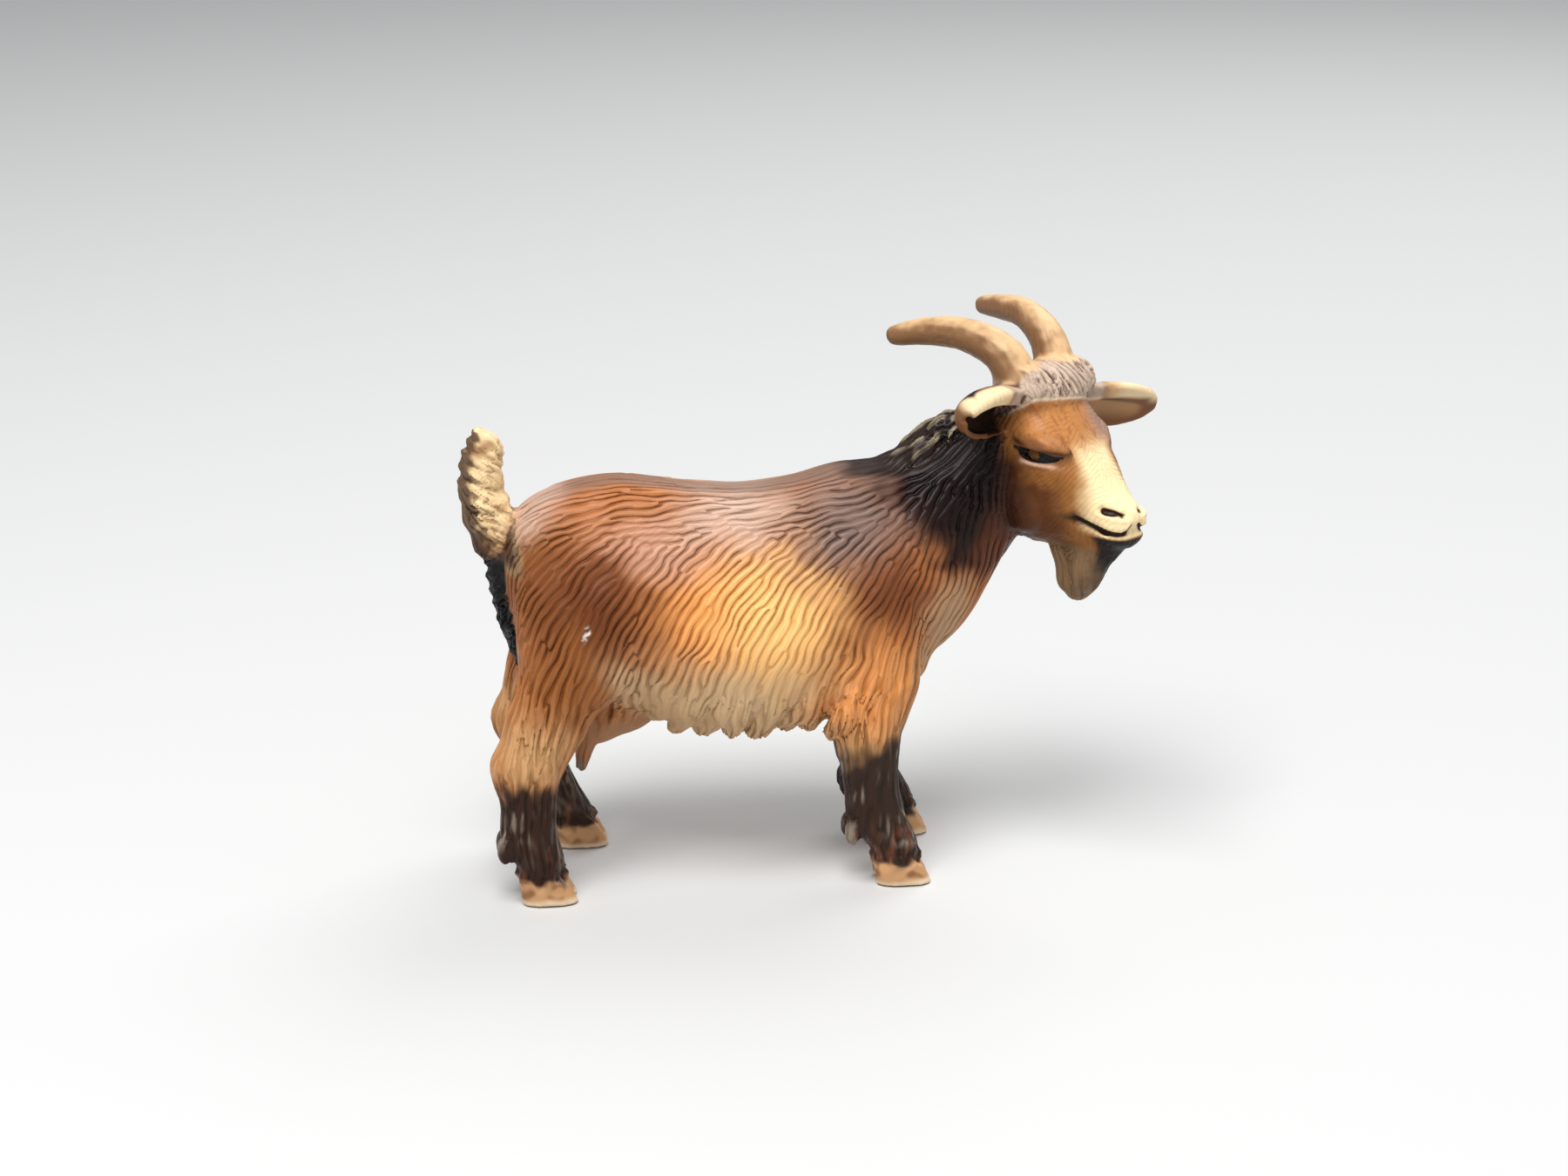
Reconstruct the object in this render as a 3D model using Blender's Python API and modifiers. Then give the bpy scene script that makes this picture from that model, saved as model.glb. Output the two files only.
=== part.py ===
"""Goat figurine: one moulded, painted plastic goat, standing on four cloven hooves.

The animal faces +X with +Z up, its left side is +Y, and its head is turned to its right.
Lofted forms, turned beads and tapered locks of hair are pressed together like clay, fused
into one skin, carved with the coat's locks and the face's lines, and cut flat at the soles.
Sizes are in millimetres and become metres where a mesh is made.
"""
import math

import bmesh
import bpy
import numpy as np
from mathutils import Matrix, Vector

MM = 0.001

# Trunk
BODY_LENGTH = 47.6
RUMP_X = -31.0
CROUP_HEIGHT = 46.7
SADDLE_HEIGHT = 45.1
WITHERS_HEIGHT = 47.6
BELLY_HEIGHT = 17.6
BRISKET_HEIGHT = 20.6
HIP_WIDTH = 20.0
BARREL_WIDTH = 23.6
SHOULDER_WIDTH = 19.6

# Neck, from inside the shoulders to the back of the skull
NECK_ROOT = (6.0, 0.0, 36.0)
NECK_TOP = (25.2, 1.0, 49.3)
NECK_THICKNESS = 15.2
NECK_WIDTH = 11.4

# Head: the poll is the crown between the horns, and the turn is about the vertical
POLL = (27.7, -1.0, 57.5)
HEAD_TURN = -52.0
HEAD_LENGTH = 15.0
HEAD_DEPTH = 18.6
HEAD_WIDTH = 11.4
MUZZLE_WIDTH = 6.0
RIGHT_HORN_LENGTH = 15.6
LEFT_HORN_LENGTH = 13.5
RIGHT_HORN_RISE = 3.8
LEFT_HORN_RISE = 4.85
RIGHT_HORN_DROOP = 0.46
LEFT_HORN_DROOP = 0.16
RIGHT_HORN_SPREAD = 7.2
LEFT_HORN_SPREAD = 6.0
RIGHT_HORN_THICKNESS = 4.8
LEFT_HORN_THICKNESS = 4.4
EAR_LENGTH = 11.2
EAR_WIDTH = 6.2
EAR_WALL = 1.25
EAR_ROLL = 0.7
RIGHT_EAR_SEAT = 3.5
LEFT_EAR_SEAT = 5.1
RIGHT_EAR_RISE = 1.6
LEFT_EAR_RISE = -0.7
RIGHT_EAR_LEAN = 0.17
LEFT_EAR_LEAN = 0.45
RIGHT_EAR_BOWL = 1.6
LEFT_EAR_BOWL = 1.0
RIGHT_EAR_HOLLOW = 1.0
LEFT_EAR_HOLLOW = 0.62
EYE_SPACING = 9.6
EYE_SIZE = 2.7
LEFT_BROW_INSET = 0.9
FORELOCK_FALL = 3.6
FORELOCK_REACH = 4.9
BEARD_LENGTH = 7.4
BEARD_DEPTH = 9.0
BEARD_WIDTH = 4.2

# Legs: hoof places are where each sole's middle stands, the step is how far the left one leads
FORE_ROOT_X = 7.6
FORE_HOOF_X = 12.4
FORE_STEP = 2.0
FORE_STANCE = 14.4
FORE_ROOT_HEIGHT = 31.0
KNEE_HEIGHT = 15.5
HIND_ROOT_X = -21.0
HIND_HOOF_X = -27.3
HIND_STEP = 4.4
HIND_STANCE = 16.0
HIND_ROOT_HEIGHT = 35.0
HOCK_HEIGHT = 16.8
FETLOCK_HEIGHT = 8.2
CANNON_DEPTH = 6.2
CANNON_WIDTH = 4.9
HOOF_LENGTH = 6.6
HOOF_WIDTH = 5.3
HOOF_HEIGHT = 3.4
SOLE_TRIM = 0.5
DEWCLAW_LENGTH = 2.9

# Tail and udder
TAIL_HEIGHT = 52.2
TAIL_ROOT_HEIGHT = 38.4
TAIL_WIDTH = 5.2
TAIL_RIDGES = 7
BREECH_DROP = 12.6
BREECH_DEPTH = 3.2
UDDER_WIDTH = 9.0
UDDER_DROP = 7.4
TEAT_LENGTH = 3.2

# Hair modelled as separate locks
MANE_TUFTS = 6
MANE_TUFT_LENGTH = 3.6
FORELOCK_CURLS = 7
HEM_LOCKS = 9
HEM_LOCK_DROP = 1.1
LOCK_THICKNESS = 1.7
BREECH_CURLS = 9

# Carving and skin
LOCK_PITCH = 2.3
LOCK_DEPTH = 0.34
VOXEL = 0.36
TRIANGLES = 11700
FIRST_THINNING = 17000
FINE_FACE_HEIGHT = 26.0

COAT_COLOUR = (0.36, 0.15, 0.055, 1.0)
COAT_ROUGHNESS = 0.42

RIGHT = -1
LEFT = 1


def clear_scene():
    """Remove whatever the file opens with."""
    for item in list(bpy.data.objects):
        bpy.data.objects.remove(item, do_unlink=True)


def catmull_rom(rows, steps):
    """Rows of numbers joined by a curve through every row, with steps points to a stretch."""
    rows = np.asarray(rows, float)
    ends = np.vstack([2 * rows[0] - rows[1], rows, 2 * rows[-1] - rows[-2]])
    share = np.linspace(0.0, 1.0, steps, endpoint=False)[:, None]
    curve = []
    for a, b, c, d in zip(ends, ends[1:], ends[2:], ends[3:]):
        curve.append(0.5 * (2 * b + (c - a) * share + (2 * a - 5 * b + 4 * c - d) * share ** 2
                            + (3 * b - a - 3 * c + d) * share ** 3))
    curve.append(rows[-1][None, :])
    return np.vstack(curve)


def section(row, axis, across, sides=28):
    """Ring about a row (x, y, z, above, below, beside, fullness) in the plane across the axis.

    The ring is a superellipse whose reach differs above and below its middle.
    """
    centre = np.array(row[:3])
    above, below, beside, fullness = row[3:7]
    upward = np.cross(axis, across)
    upward /= np.linalg.norm(upward)
    turn = np.linspace(0.0, 2 * math.pi, sides, endpoint=False)
    cosine, sine = np.cos(turn), np.sin(turn)
    power = 2.0 / fullness
    out = np.sign(cosine) * np.abs(cosine) ** power * beside
    rise = np.sign(sine) * np.abs(sine) ** power * np.where(sine > 0, above, below)
    return centre + out[:, None] * across + rise[:, None] * upward


def add_loft(clay, rings):
    """Skin a list of equal rings and close both ends."""
    layers = [[clay.verts.new(point * MM) for point in ring] for ring in rings]
    count = len(layers[0])
    for lower, upper in zip(layers, layers[1:]):
        for i in range(count):
            j = (i + 1) % count
            clay.faces.new((lower[i], lower[j], upper[j], upper[i]))
    clay.faces.new(list(reversed(layers[0])))
    clay.faces.new(layers[-1])


def add_form(clay, rows, axis=None, across=(0.0, 1.0, 0.0), steps=6):
    """Loft through rows of section sizes, across a fixed axis or across their own path."""
    rows = catmull_rom(rows, steps)
    across = np.array(across, float)
    path = np.gradient(rows[:, :3], axis=0)
    rings = []
    for row, tangent in zip(rows, path):
        along = np.array(axis, float) if axis is not None else tangent / np.linalg.norm(tangent)
        side = across - along * (across @ along)
        rings.append(section(row, along, side / np.linalg.norm(side)))
    add_loft(clay, rings)


def add_bead(clay, centre, radii, turn=0.0):
    """Ellipsoid with its own reach along X, Y and Z, turned about the vertical."""
    place = Matrix.Translation(Vector(centre) * MM) @ Matrix.Rotation(turn, 4, 'Z')
    stretch = Matrix.Diagonal((*[radius * MM for radius in radii], 1.0))
    bmesh.ops.create_uvsphere(clay, u_segments=24, v_segments=14, radius=1.0, matrix=place @ stretch)


def add_strand(clay, points, radii, steps=4):
    """Tapered round strand: a curve object with a bevel, whose caps are welded before it joins."""
    rows = catmull_rom([(*point, radius) for point, radius in zip(points, radii)], steps)
    curve = bpy.data.curves.new("strand", 'CURVE')
    curve.dimensions = '3D'
    curve.bevel_depth = MM
    curve.bevel_resolution = 3
    curve.use_fill_caps = True
    spline = curve.splines.new('POLY')
    spline.points.add(len(rows) - 1)
    for knot, row in zip(spline.points, rows):
        knot.co = (*(row[:3] * MM), 1.0)
        knot.radius = max(row[3], 0.05)
    strand = bpy.data.objects.new("strand", curve)
    bpy.context.scene.collection.objects.link(strand)
    bpy.context.view_layer.update()
    mesh = bpy.data.meshes.new_from_object(strand.evaluated_get(bpy.context.evaluated_depsgraph_get()))
    bpy.data.objects.remove(strand, do_unlink=True)
    part = bmesh.new()
    part.from_mesh(mesh)
    bmesh.ops.remove_doubles(part, verts=part.verts, dist=1e-7)
    bmesh.ops.recalc_face_normals(part, faces=part.faces)
    part.to_mesh(mesh)
    part.free()
    clay.from_mesh(mesh)
    bpy.data.meshes.remove(mesh)


# Trunk and neck

def trunk_rows():
    """Sections from the rump to the brisket: place, reach above, below and beside, fullness."""
    tops = (CROUP_HEIGHT * 0.880, CROUP_HEIGHT * 0.925, CROUP_HEIGHT * 0.972, CROUP_HEIGHT,
            SADDLE_HEIGHT * 1.016, SADDLE_HEIGHT, SADDLE_HEIGHT * 1.014, WITHERS_HEIGHT * 0.992,
            WITHERS_HEIGHT * 0.985, WITHERS_HEIGHT * 0.93, WITHERS_HEIGHT * 0.80)
    bottoms = (BELLY_HEIGHT * 1.90, BELLY_HEIGHT * 1.60, BELLY_HEIGHT * 1.36, BELLY_HEIGHT * 1.17,
               BELLY_HEIGHT * 1.05, BELLY_HEIGHT, BELLY_HEIGHT * 1.02, BRISKET_HEIGHT * 0.93,
               BRISKET_HEIGHT, BRISKET_HEIGHT * 1.08, BRISKET_HEIGHT * 1.24)
    widths = (HIP_WIDTH * 0.30, HIP_WIDTH * 0.66, HIP_WIDTH * 0.92, HIP_WIDTH * 1.04, BARREL_WIDTH * 0.96,
              BARREL_WIDTH, BARREL_WIDTH * 0.97, SHOULDER_WIDTH * 1.06, SHOULDER_WIDTH * 0.92,
              SHOULDER_WIDTH * 0.66, SHOULDER_WIDTH * 0.38)
    shares = (0.0, 0.035, 0.11, 0.25, 0.40, 0.54, 0.67, 0.79, 0.90, 0.97, 1.0)
    rows = []
    for share, top, bottom, width in zip(shares, tops, bottoms, widths):
        middle = bottom + 0.46 * (top - bottom)
        place = (RUMP_X + share * BODY_LENGTH, 0.0, middle)
        rows.append((*place, top - middle, middle - bottom, width / 2, 2.15))
    return rows


def trunk_point(share, angle):
    """Point on the trunk's skin: share of its rows from the rump, angle down from the left side."""
    rows = catmull_rom(trunk_rows(), 12)
    row = rows[int(round(share * (len(rows) - 1)))]
    rise = math.sin(angle)
    reach = row[3] if rise > 0 else row[4]
    return np.array((row[0], math.cos(angle) * row[5], row[2] + rise * reach))


def neck_rows():
    """Sections along the neck, deep at the throat and thin at the crest."""
    root, top = np.array(NECK_ROOT), np.array(NECK_TOP)
    places = [root, root + (top - root) * (0.31, 0.0, 0.19), root + (top - root) * (0.57, 0.3, 0.45),
              root + (top - root) * (0.81, 0.8, 0.75), top]
    above = (0.66, 0.585, 0.42, 0.375, 0.38)
    below = (0.98, 0.90, 0.69, 0.55, 0.48)
    beside = (0.80, 0.70, 0.57, 0.52, 0.48)
    return [(*place, up * NECK_THICKNESS, down * NECK_THICKNESS, side * NECK_WIDTH, 2.1)
            for place, up, down, side in zip(places, above, below, beside)]


def nape_rows():
    """Sections that round the neck's end off inside the skull, so that no edge of it shows."""
    *_, lower, last = neck_rows()
    along = np.array(last[:3]) - np.array(lower[:3])
    along /= np.linalg.norm(along)
    rows = []
    # Each row: distance past the neck's top as a share of its thickness, and its share of the size
    for past, size in ((0.14, 0.90), (0.26, 0.68), (0.33, 0.40), (0.35, 0.15)):
        place = np.array(last[:3]) + along * past * NECK_THICKNESS
        rows.append((*place, *(reach * size for reach in last[3:6]), last[6]))
    return rows


# Head, built in its own frame: forward, to its left, and up, all from the poll

def head_axes():
    """Forward and leftward directions of the turned head."""
    turn = math.radians(HEAD_TURN)
    ahead = np.array((math.cos(turn), math.sin(turn), 0.0))
    return ahead, np.array((-ahead[1], ahead[0], 0.0))


def head_point(forward, left, up):
    """Place in the animal's frame of a point given from the poll."""
    ahead, aside = head_axes()
    return np.array(POLL) + ahead * forward + aside * left + np.array((0.0, 0.0, up))


def add_head(clay):
    """Skull, cheeks, brow, muzzle and lips."""
    ahead, aside = head_axes()
    length, depth, width, muzzle = HEAD_LENGTH, HEAD_DEPTH, HEAD_WIDTH / 2, MUZZLE_WIDTH / 2
    # Each row: forward, height of the widest place, reach above, below, beside
    profile = ((-0.36, -0.44, 0.22, 0.37, width * 0.70), (-0.16, -0.42, 0.37, 0.54, width * 0.90),
               (0.04, -0.42, 0.405, 0.61, width), (0.24, -0.43, 0.33, 0.60, width * 1.02),
               (0.42, -0.50, 0.245, 0.50, width * 0.95), (0.58, -0.62, 0.190, 0.36, width * 0.78),
               (0.74, -0.725, 0.140, 0.24, muzzle * 1.14), (0.88, -0.79, 0.112, 0.165, muzzle),
               (0.955, -0.805, 0.085, 0.115, muzzle * 0.80), (0.985, -0.81, 0.045, 0.055, muzzle * 0.45))
    rows = [(*head_point(forward * length, 0.0, middle * depth), above * depth, below * depth, beside, 2.25)
            for forward, middle, above, below, beside in profile]
    add_form(clay, rows, axis=ahead, across=aside)
    turn = math.radians(HEAD_TURN)
    for side in (RIGHT, LEFT):
        cheek = head_point(0.12 * length, side * width * 0.62, -0.70 * depth)
        add_bead(clay, cheek, (0.30 * length, width * 0.42, 0.24 * depth), turn)
        wing = head_point(0.86 * length, side * muzzle * 0.55, -0.725 * depth)
        add_bead(clay, wing, (0.105 * length, muzzle * 0.34, 0.045 * depth), turn)
        lip = head_point(0.84 * length, side * muzzle * 0.42, -0.80 * depth)
        add_bead(clay, lip, (0.15 * length, muzzle * 0.60, 0.055 * depth), turn)
        inset = LEFT_BROW_INSET if side == LEFT else 0.0
        brow = [head_point(0.12 * length, side * (width * 0.92 - inset), -0.335 * depth),
                head_point(0.36 * length, side * (width * 0.93 - inset), -0.345 * depth),
                head_point(0.54 * length, side * (width * 0.66 - inset), -0.41 * depth)]
        add_strand(clay, brow, (0.7, 1.0, 0.6))
        eye = head_point(0.335 * length, side * (EYE_SPACING / 2 - inset), -0.415 * depth)
        add_bead(clay, eye, (EYE_SIZE * 0.62, EYE_SIZE * 0.46, EYE_SIZE * 0.40), turn)
    chin = head_point(0.80 * length, 0.0, -0.905 * depth)
    add_bead(clay, chin, (0.17 * length, muzzle * 0.66, 0.06 * depth), turn)


def add_horns(clay):
    """Pair of horns that rise from the poll, arc back, spread and droop, with blunt tips."""
    horns = ((RIGHT, RIGHT_HORN_LENGTH, RIGHT_HORN_RISE, RIGHT_HORN_DROOP, RIGHT_HORN_SPREAD,
              RIGHT_HORN_THICKNESS),
             (LEFT, LEFT_HORN_LENGTH, LEFT_HORN_RISE, LEFT_HORN_DROOP, LEFT_HORN_SPREAD,
              LEFT_HORN_THICKNESS))
    # Each row: back, outward, up and thickness as shares of the horn's own sizes
    shape = ((0.00, 1.00, -0.70, 1.04), (0.01, 1.03, 0.12, 1.02), (0.14, 1.14, 0.66, 0.92),
             (0.40, 1.38, 0.98, 0.80), (0.70, 1.66, 1.00, 0.68), (0.93, 1.87, 1.00, 0.55),
             (0.985, 1.92, 1.00, 0.43), (1.0, 1.93, 1.00, 0.20))
    for side, length, rise, droop, spread, thickness in horns:
        points = [head_point(-back * length, side * out * spread / 2, (up - droop * back ** 4) * rise)
                  for back, out, up, _ in shape]
        add_strand(clay, points, [thick * thickness / 2 for *_, thick in shape], steps=5)


def add_ears(clay):
    """Pair of cupped ears held level, thick above and thin below, that narrow to a round tip."""
    ahead, aside = head_axes()
    ears = ((RIGHT, RIGHT_EAR_SEAT, RIGHT_EAR_RISE, RIGHT_EAR_LEAN, RIGHT_EAR_BOWL, RIGHT_EAR_HOLLOW),
            (LEFT, LEFT_EAR_SEAT, LEFT_EAR_RISE, LEFT_EAR_LEAN, LEFT_EAR_BOWL, LEFT_EAR_HOLLOW))
    # Each row: share of the length, half width and cup depth as shares of the ear's width
    shape = ((0.0, 0.42, 0.28), (0.18, 0.48, 0.35), (0.40, 0.52, 0.37), (0.62, 0.50, 0.33),
             (0.82, 0.40, 0.26), (0.94, 0.26, 0.18), (1.0, 0.12, 0.10))
    arc = np.linspace(0.0, math.pi, 13)
    for side, seat, rise, lean, bowl, hollow in ears:
        outward = aside * side + ahead * lean + np.array((0.0, 0.0, rise / EAR_LENGTH))
        outward /= np.linalg.norm(outward)
        mouth = ahead * 0.90 + np.array((0.0, 0.0, -0.44))
        mouth -= outward * (mouth @ outward)
        mouth /= np.linalg.norm(mouth)
        down = np.cross(outward, mouth) * side
        base = head_point(0.07 * HEAD_LENGTH, side * HEAD_WIDTH * 0.40, -seat)
        rings = []
        for share, half, cup in catmull_rom(shape, 4):
            depth = cup * bowl * EAR_WIDTH
            outer = [(math.cos(a) * half * EAR_WIDTH, math.sin(a) * depth) for a in arc]
            inner_half = max(half * EAR_WIDTH - EAR_WALL, 0.02)
            inner_cup = max((depth - EAR_WALL) * hollow, -0.4)
            shift = EAR_ROLL * min(1.0, inner_half / EAR_WALL)
            inner = [(math.cos(a) * inner_half + shift, math.sin(a) * inner_cup - 0.12) for a in arc[::-1]]
            centre = base + outward * share * EAR_LENGTH + mouth * 0.65 * (depth - cup * EAR_WIDTH)
            rings.append(np.array([centre + down * x - mouth * y for x, y in outer + inner]))
        add_loft(clay, rings)


def add_beard(clay):
    """Beard hanging from the chin, drawn out to a tip that leans back."""
    _, aside = head_axes()
    # Each row: forward as a share of the head, drop, half depth and half width as shares of the beard
    shape = ((0.60, -0.25, 0.42, 0.40), (0.58, 0.05, 0.46, 0.50), (0.52, 0.36, 0.36, 0.44),
             (0.475, 0.68, 0.29, 0.36), (0.45, 0.90, 0.18, 0.24), (0.44, 1.0, 0.07, 0.10))
    jaw = -0.955 * HEAD_DEPTH
    rows = [(*head_point(forward * HEAD_LENGTH, 0.0, jaw - drop * BEARD_LENGTH), deep * BEARD_DEPTH,
             deep * BEARD_DEPTH, wide * BEARD_WIDTH, 2.0) for forward, drop, deep, wide in shape]
    add_form(clay, rows, axis=(0.0, 0.0, -1.0), across=aside, steps=4)


def add_forelock(clay):
    """Curls that fall forward between the horns to the top of the face."""
    turn = math.radians(HEAD_TURN)
    half, reach = HEAD_WIDTH / 2, FORELOCK_REACH
    crown = (0.55 * reach, half * 0.96, 0.42 * FORELOCK_FALL)
    add_bead(clay, head_point(0.3 * reach, 0.0, -0.12 * HEAD_DEPTH), crown, turn)
    for i in range(FORELOCK_CURLS):
        share = 2 * i / (FORELOCK_CURLS - 1) - 1
        left = share * half * 0.88
        sway = 0.55 * math.sin(2.4 * i) * (1 - 0.6 * share ** 2)
        crest = 0.3 - 0.25 * share ** 2
        fall = FORELOCK_FALL * (1 - 0.15 * share ** 2)
        points = [head_point(-0.37 * reach, left * 0.5, -0.8),
                  head_point(0.12 * reach, left * 0.78 + sway * 0.5, crest),
                  head_point(0.63 * reach, left * 0.95 - sway * 0.5, crest - 0.2 * fall),
                  head_point(0.94 * reach - 0.8 * abs(share), left * (1 - 0.05 * share ** 2), -0.58 * fall),
                  head_point(reach - abs(share), left * (1.02 - 0.15 * share ** 2) + sway, -fall)]
        add_strand(clay, points, (0.8, 0.95, 0.95, 0.75, 0.30))


def add_mane(clay):
    """Tufts along the neck's crest, swept back, each overlapping the one behind it."""
    rows = catmull_rom(neck_rows(), 12)
    for i in range(MANE_TUFTS):
        share = 0.38 + 0.44 * i / (MANE_TUFTS - 1)
        place = int(round(share * (len(rows) - 1)))
        row = rows[place]
        along = rows[place + 1][:3] - rows[place - 1][:3]
        along /= np.linalg.norm(along)
        upward = np.cross(along, (0.0, 1.0, 0.0))
        for aside in (-1.15, 0.0, 1.15):
            lean = np.array((0.0, aside + 0.3 * math.sin(2.2 * i + aside), 0.0))
            root = row[:3] + upward * (row[3] - 0.6 - 0.22 * aside ** 2) + lean * 0.8
            crown = root + upward * 1.75 - along * 0.35 * MANE_TUFT_LENGTH + lean * 0.3
            tip = root + upward * (1.9 - 0.3 * abs(aside)) - along * MANE_TUFT_LENGTH + lean * 0.5
            add_strand(clay, [root + along * 1.2, crown, tip], (1.0, 0.85, 0.30))


# Legs and feet

def add_leg(clay, rows, side):
    """Leg lofted through level sections, given for the left side and mirrored for the right."""
    placed = [(x, side * y, z, front, rear, beside, 2.2) for x, y, z, front, rear, beside in rows]
    add_form(clay, placed, axis=(0.0, 0.0, -1.0))


def add_foot(clay, hoof_x, hoof_y, fetlock_x, fetlock_y):
    """Cloven hoof of two claws on a flat sole, and the pair of dewclaws behind the fetlock."""
    for half in (RIGHT, LEFT):
        y = hoof_y + half * HOOF_WIDTH * 0.235
        # Each row: forward shift, height, half length and half width as shares of the hoof
        shape = ((-0.17, 1.40, 0.29, 0.20), (-0.11, 1.0, 0.38, 0.25), (-0.03, 0.5, 0.45, 0.27),
                 (0.03, 0.12, 0.49, 0.275), (0.03, -0.3, 0.48, 0.27))
        rows = [(hoof_x + shift * HOOF_LENGTH, y, height * HOOF_HEIGHT, reach * HOOF_LENGTH,
                 reach * HOOF_LENGTH, wide * HOOF_WIDTH, 2.1) for shift, height, reach, wide in shape]
        add_form(clay, rows, axis=(0.0, 0.0, -1.0), steps=4)
        claw = fetlock_y + half * CANNON_WIDTH * 0.27
        back = fetlock_x - CANNON_DEPTH * 0.45
        points = [(back + 1.4, claw, FETLOCK_HEIGHT + 0.3), (back, claw, FETLOCK_HEIGHT - 0.5),
                  (back - 0.15, claw, FETLOCK_HEIGHT - 0.75 * DEWCLAW_LENGTH),
                  (back + 0.25, claw, FETLOCK_HEIGHT - DEWCLAW_LENGTH)]
        add_strand(clay, points, (0.8, 0.95, 0.85, 0.45))


def add_fore_leg(clay, side, step):
    """Foreleg: shoulder, elbow, knee, cannon and sloping pastern."""
    root_x, root_z, shoulder = FORE_ROOT_X, FORE_ROOT_HEIGHT, SHOULDER_WIDTH
    hoof_x = FORE_HOOF_X + step
    foot_y = FORE_STANCE / 2
    knee_x = root_x + 0.9 + 0.35 * step
    fetlock_x = knee_x + 1.0 + 0.35 * step
    pastern_x = 0.45 * fetlock_x + 0.55 * hoof_x
    deep, wide = CANNON_DEPTH / 2, CANNON_WIDTH / 2
    elbow = KNEE_HEIGHT + 0.40 * (root_z - KNEE_HEIGHT)
    cannon = 0.5 * (KNEE_HEIGHT + FETLOCK_HEIGHT)
    long, broad = HOOF_LENGTH, HOOF_WIDTH
    rows = ((root_x, shoulder * 0.27, root_z + 1.6 * deep, deep * 1.5, deep * 1.4, wide * 1.1),
            (root_x, shoulder * 0.31, root_z, deep * 2.2, deep * 2.0, wide * 1.5),
            (root_x + 0.6, shoulder * 0.335, elbow + deep, deep * 2.0, deep * 1.95, wide * 1.48),
            (root_x + 0.8, foot_y - 0.6, elbow, deep * 1.70, deep * 1.62, wide * 1.36),
            (knee_x, foot_y - 0.3, KNEE_HEIGHT + 0.9 * deep, deep * 1.30, deep * 1.28, wide * 1.18),
            (knee_x, foot_y - 0.1, KNEE_HEIGHT, deep * 1.14, deep * 1.10, wide * 1.12),
            (knee_x + 0.4, foot_y, cannon, deep * 1.0, deep * 1.0, wide),
            (fetlock_x, foot_y, FETLOCK_HEIGHT, deep * 1.06, deep * 1.04, wide * 1.08),
            (pastern_x, foot_y, 0.62 * FETLOCK_HEIGHT, deep * 0.98, deep * 0.92, wide * 1.08),
            (hoof_x - 0.8, foot_y, HOOF_HEIGHT, long * 0.42, long * 0.40, broad * 0.45),
            (hoof_x - 0.4, foot_y, HOOF_HEIGHT * 0.55, long * 0.36, long * 0.40, broad * 0.40))
    add_leg(clay, rows, side)
    add_foot(clay, hoof_x, side * foot_y, fetlock_x, side * foot_y)


def add_hind_leg(clay, side, step):
    """Hind leg: thigh, stifle, pointed hock, cannon and pastern."""
    root_x, root_z, hip = HIND_ROOT_X, HIND_ROOT_HEIGHT, HIP_WIDTH
    hoof_x = HIND_HOOF_X + step
    foot_y = HIND_STANCE / 2
    hock_x = HIND_HOOF_X - 1.7 + 0.14 * step
    fetlock_x = HIND_HOOF_X - 1.9 + 0.62 * step
    pastern_x = 0.45 * fetlock_x + 0.55 * hoof_x - 0.1
    stifle_x = root_x - 2.3
    shin_x = 0.5 * (stifle_x + hock_x)
    gaskin_x = 0.2 * root_x + 0.8 * hock_x
    cannon_x = 0.5 * (hock_x + fetlock_x) - 0.1
    cannon = 0.5 * (HOCK_HEIGHT + FETLOCK_HEIGHT) - 0.8
    deep, wide = CANNON_DEPTH / 2, CANNON_WIDTH / 2
    hock, thigh = HOCK_HEIGHT, root_z - HOCK_HEIGHT
    long, broad = HOOF_LENGTH, HOOF_WIDTH
    rows = ((root_x - 0.5, hip * 0.30, root_z + 1.3 * deep, deep * 1.9, deep * 2.2, wide * 1.2),
            (root_x - 0.6, hip * 0.33, root_z, deep * 2.6, deep * 2.75, wide * 1.62),
            (root_x - 1.0, hip * 0.345, hock + 0.70 * thigh, deep * 2.45, deep * 2.60, wide * 1.72),
            (stifle_x, hip * 0.355, hock + 0.50 * thigh, deep * 2.05, deep * 2.20, wide * 1.62),
            (shin_x, foot_y - 0.6, hock + 0.30 * thigh, deep * 1.62, deep * 1.66, wide * 1.40),
            (gaskin_x, foot_y - 0.2, hock + 0.14 * thigh, deep * 1.40, deep * 1.50, wide * 1.22),
            (hock_x, foot_y, hock - 0.3, deep * 1.32, deep * 1.42, wide * 1.14),
            (hock_x - 0.3, foot_y, hock - 0.9 * deep, deep * 1.10, deep * 1.16, wide * 1.04),
            (cannon_x, foot_y, cannon, deep * 0.96, deep * 1.0, wide * 0.98),
            (fetlock_x, foot_y, FETLOCK_HEIGHT, deep * 1.02, deep * 1.02, wide * 1.08),
            (pastern_x, foot_y, 0.62 * FETLOCK_HEIGHT, deep * 0.94, deep * 0.90, wide * 1.08),
            (hoof_x - 0.8, foot_y, HOOF_HEIGHT, long * 0.42, long * 0.40, broad * 0.45),
            (hoof_x - 0.4, foot_y, HOOF_HEIGHT * 0.55, long * 0.36, long * 0.40, broad * 0.40))
    add_leg(clay, rows, side)
    add_foot(clay, hoof_x, side * foot_y, fetlock_x, side * foot_y)


# Tail, breech, udder and hem

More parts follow.
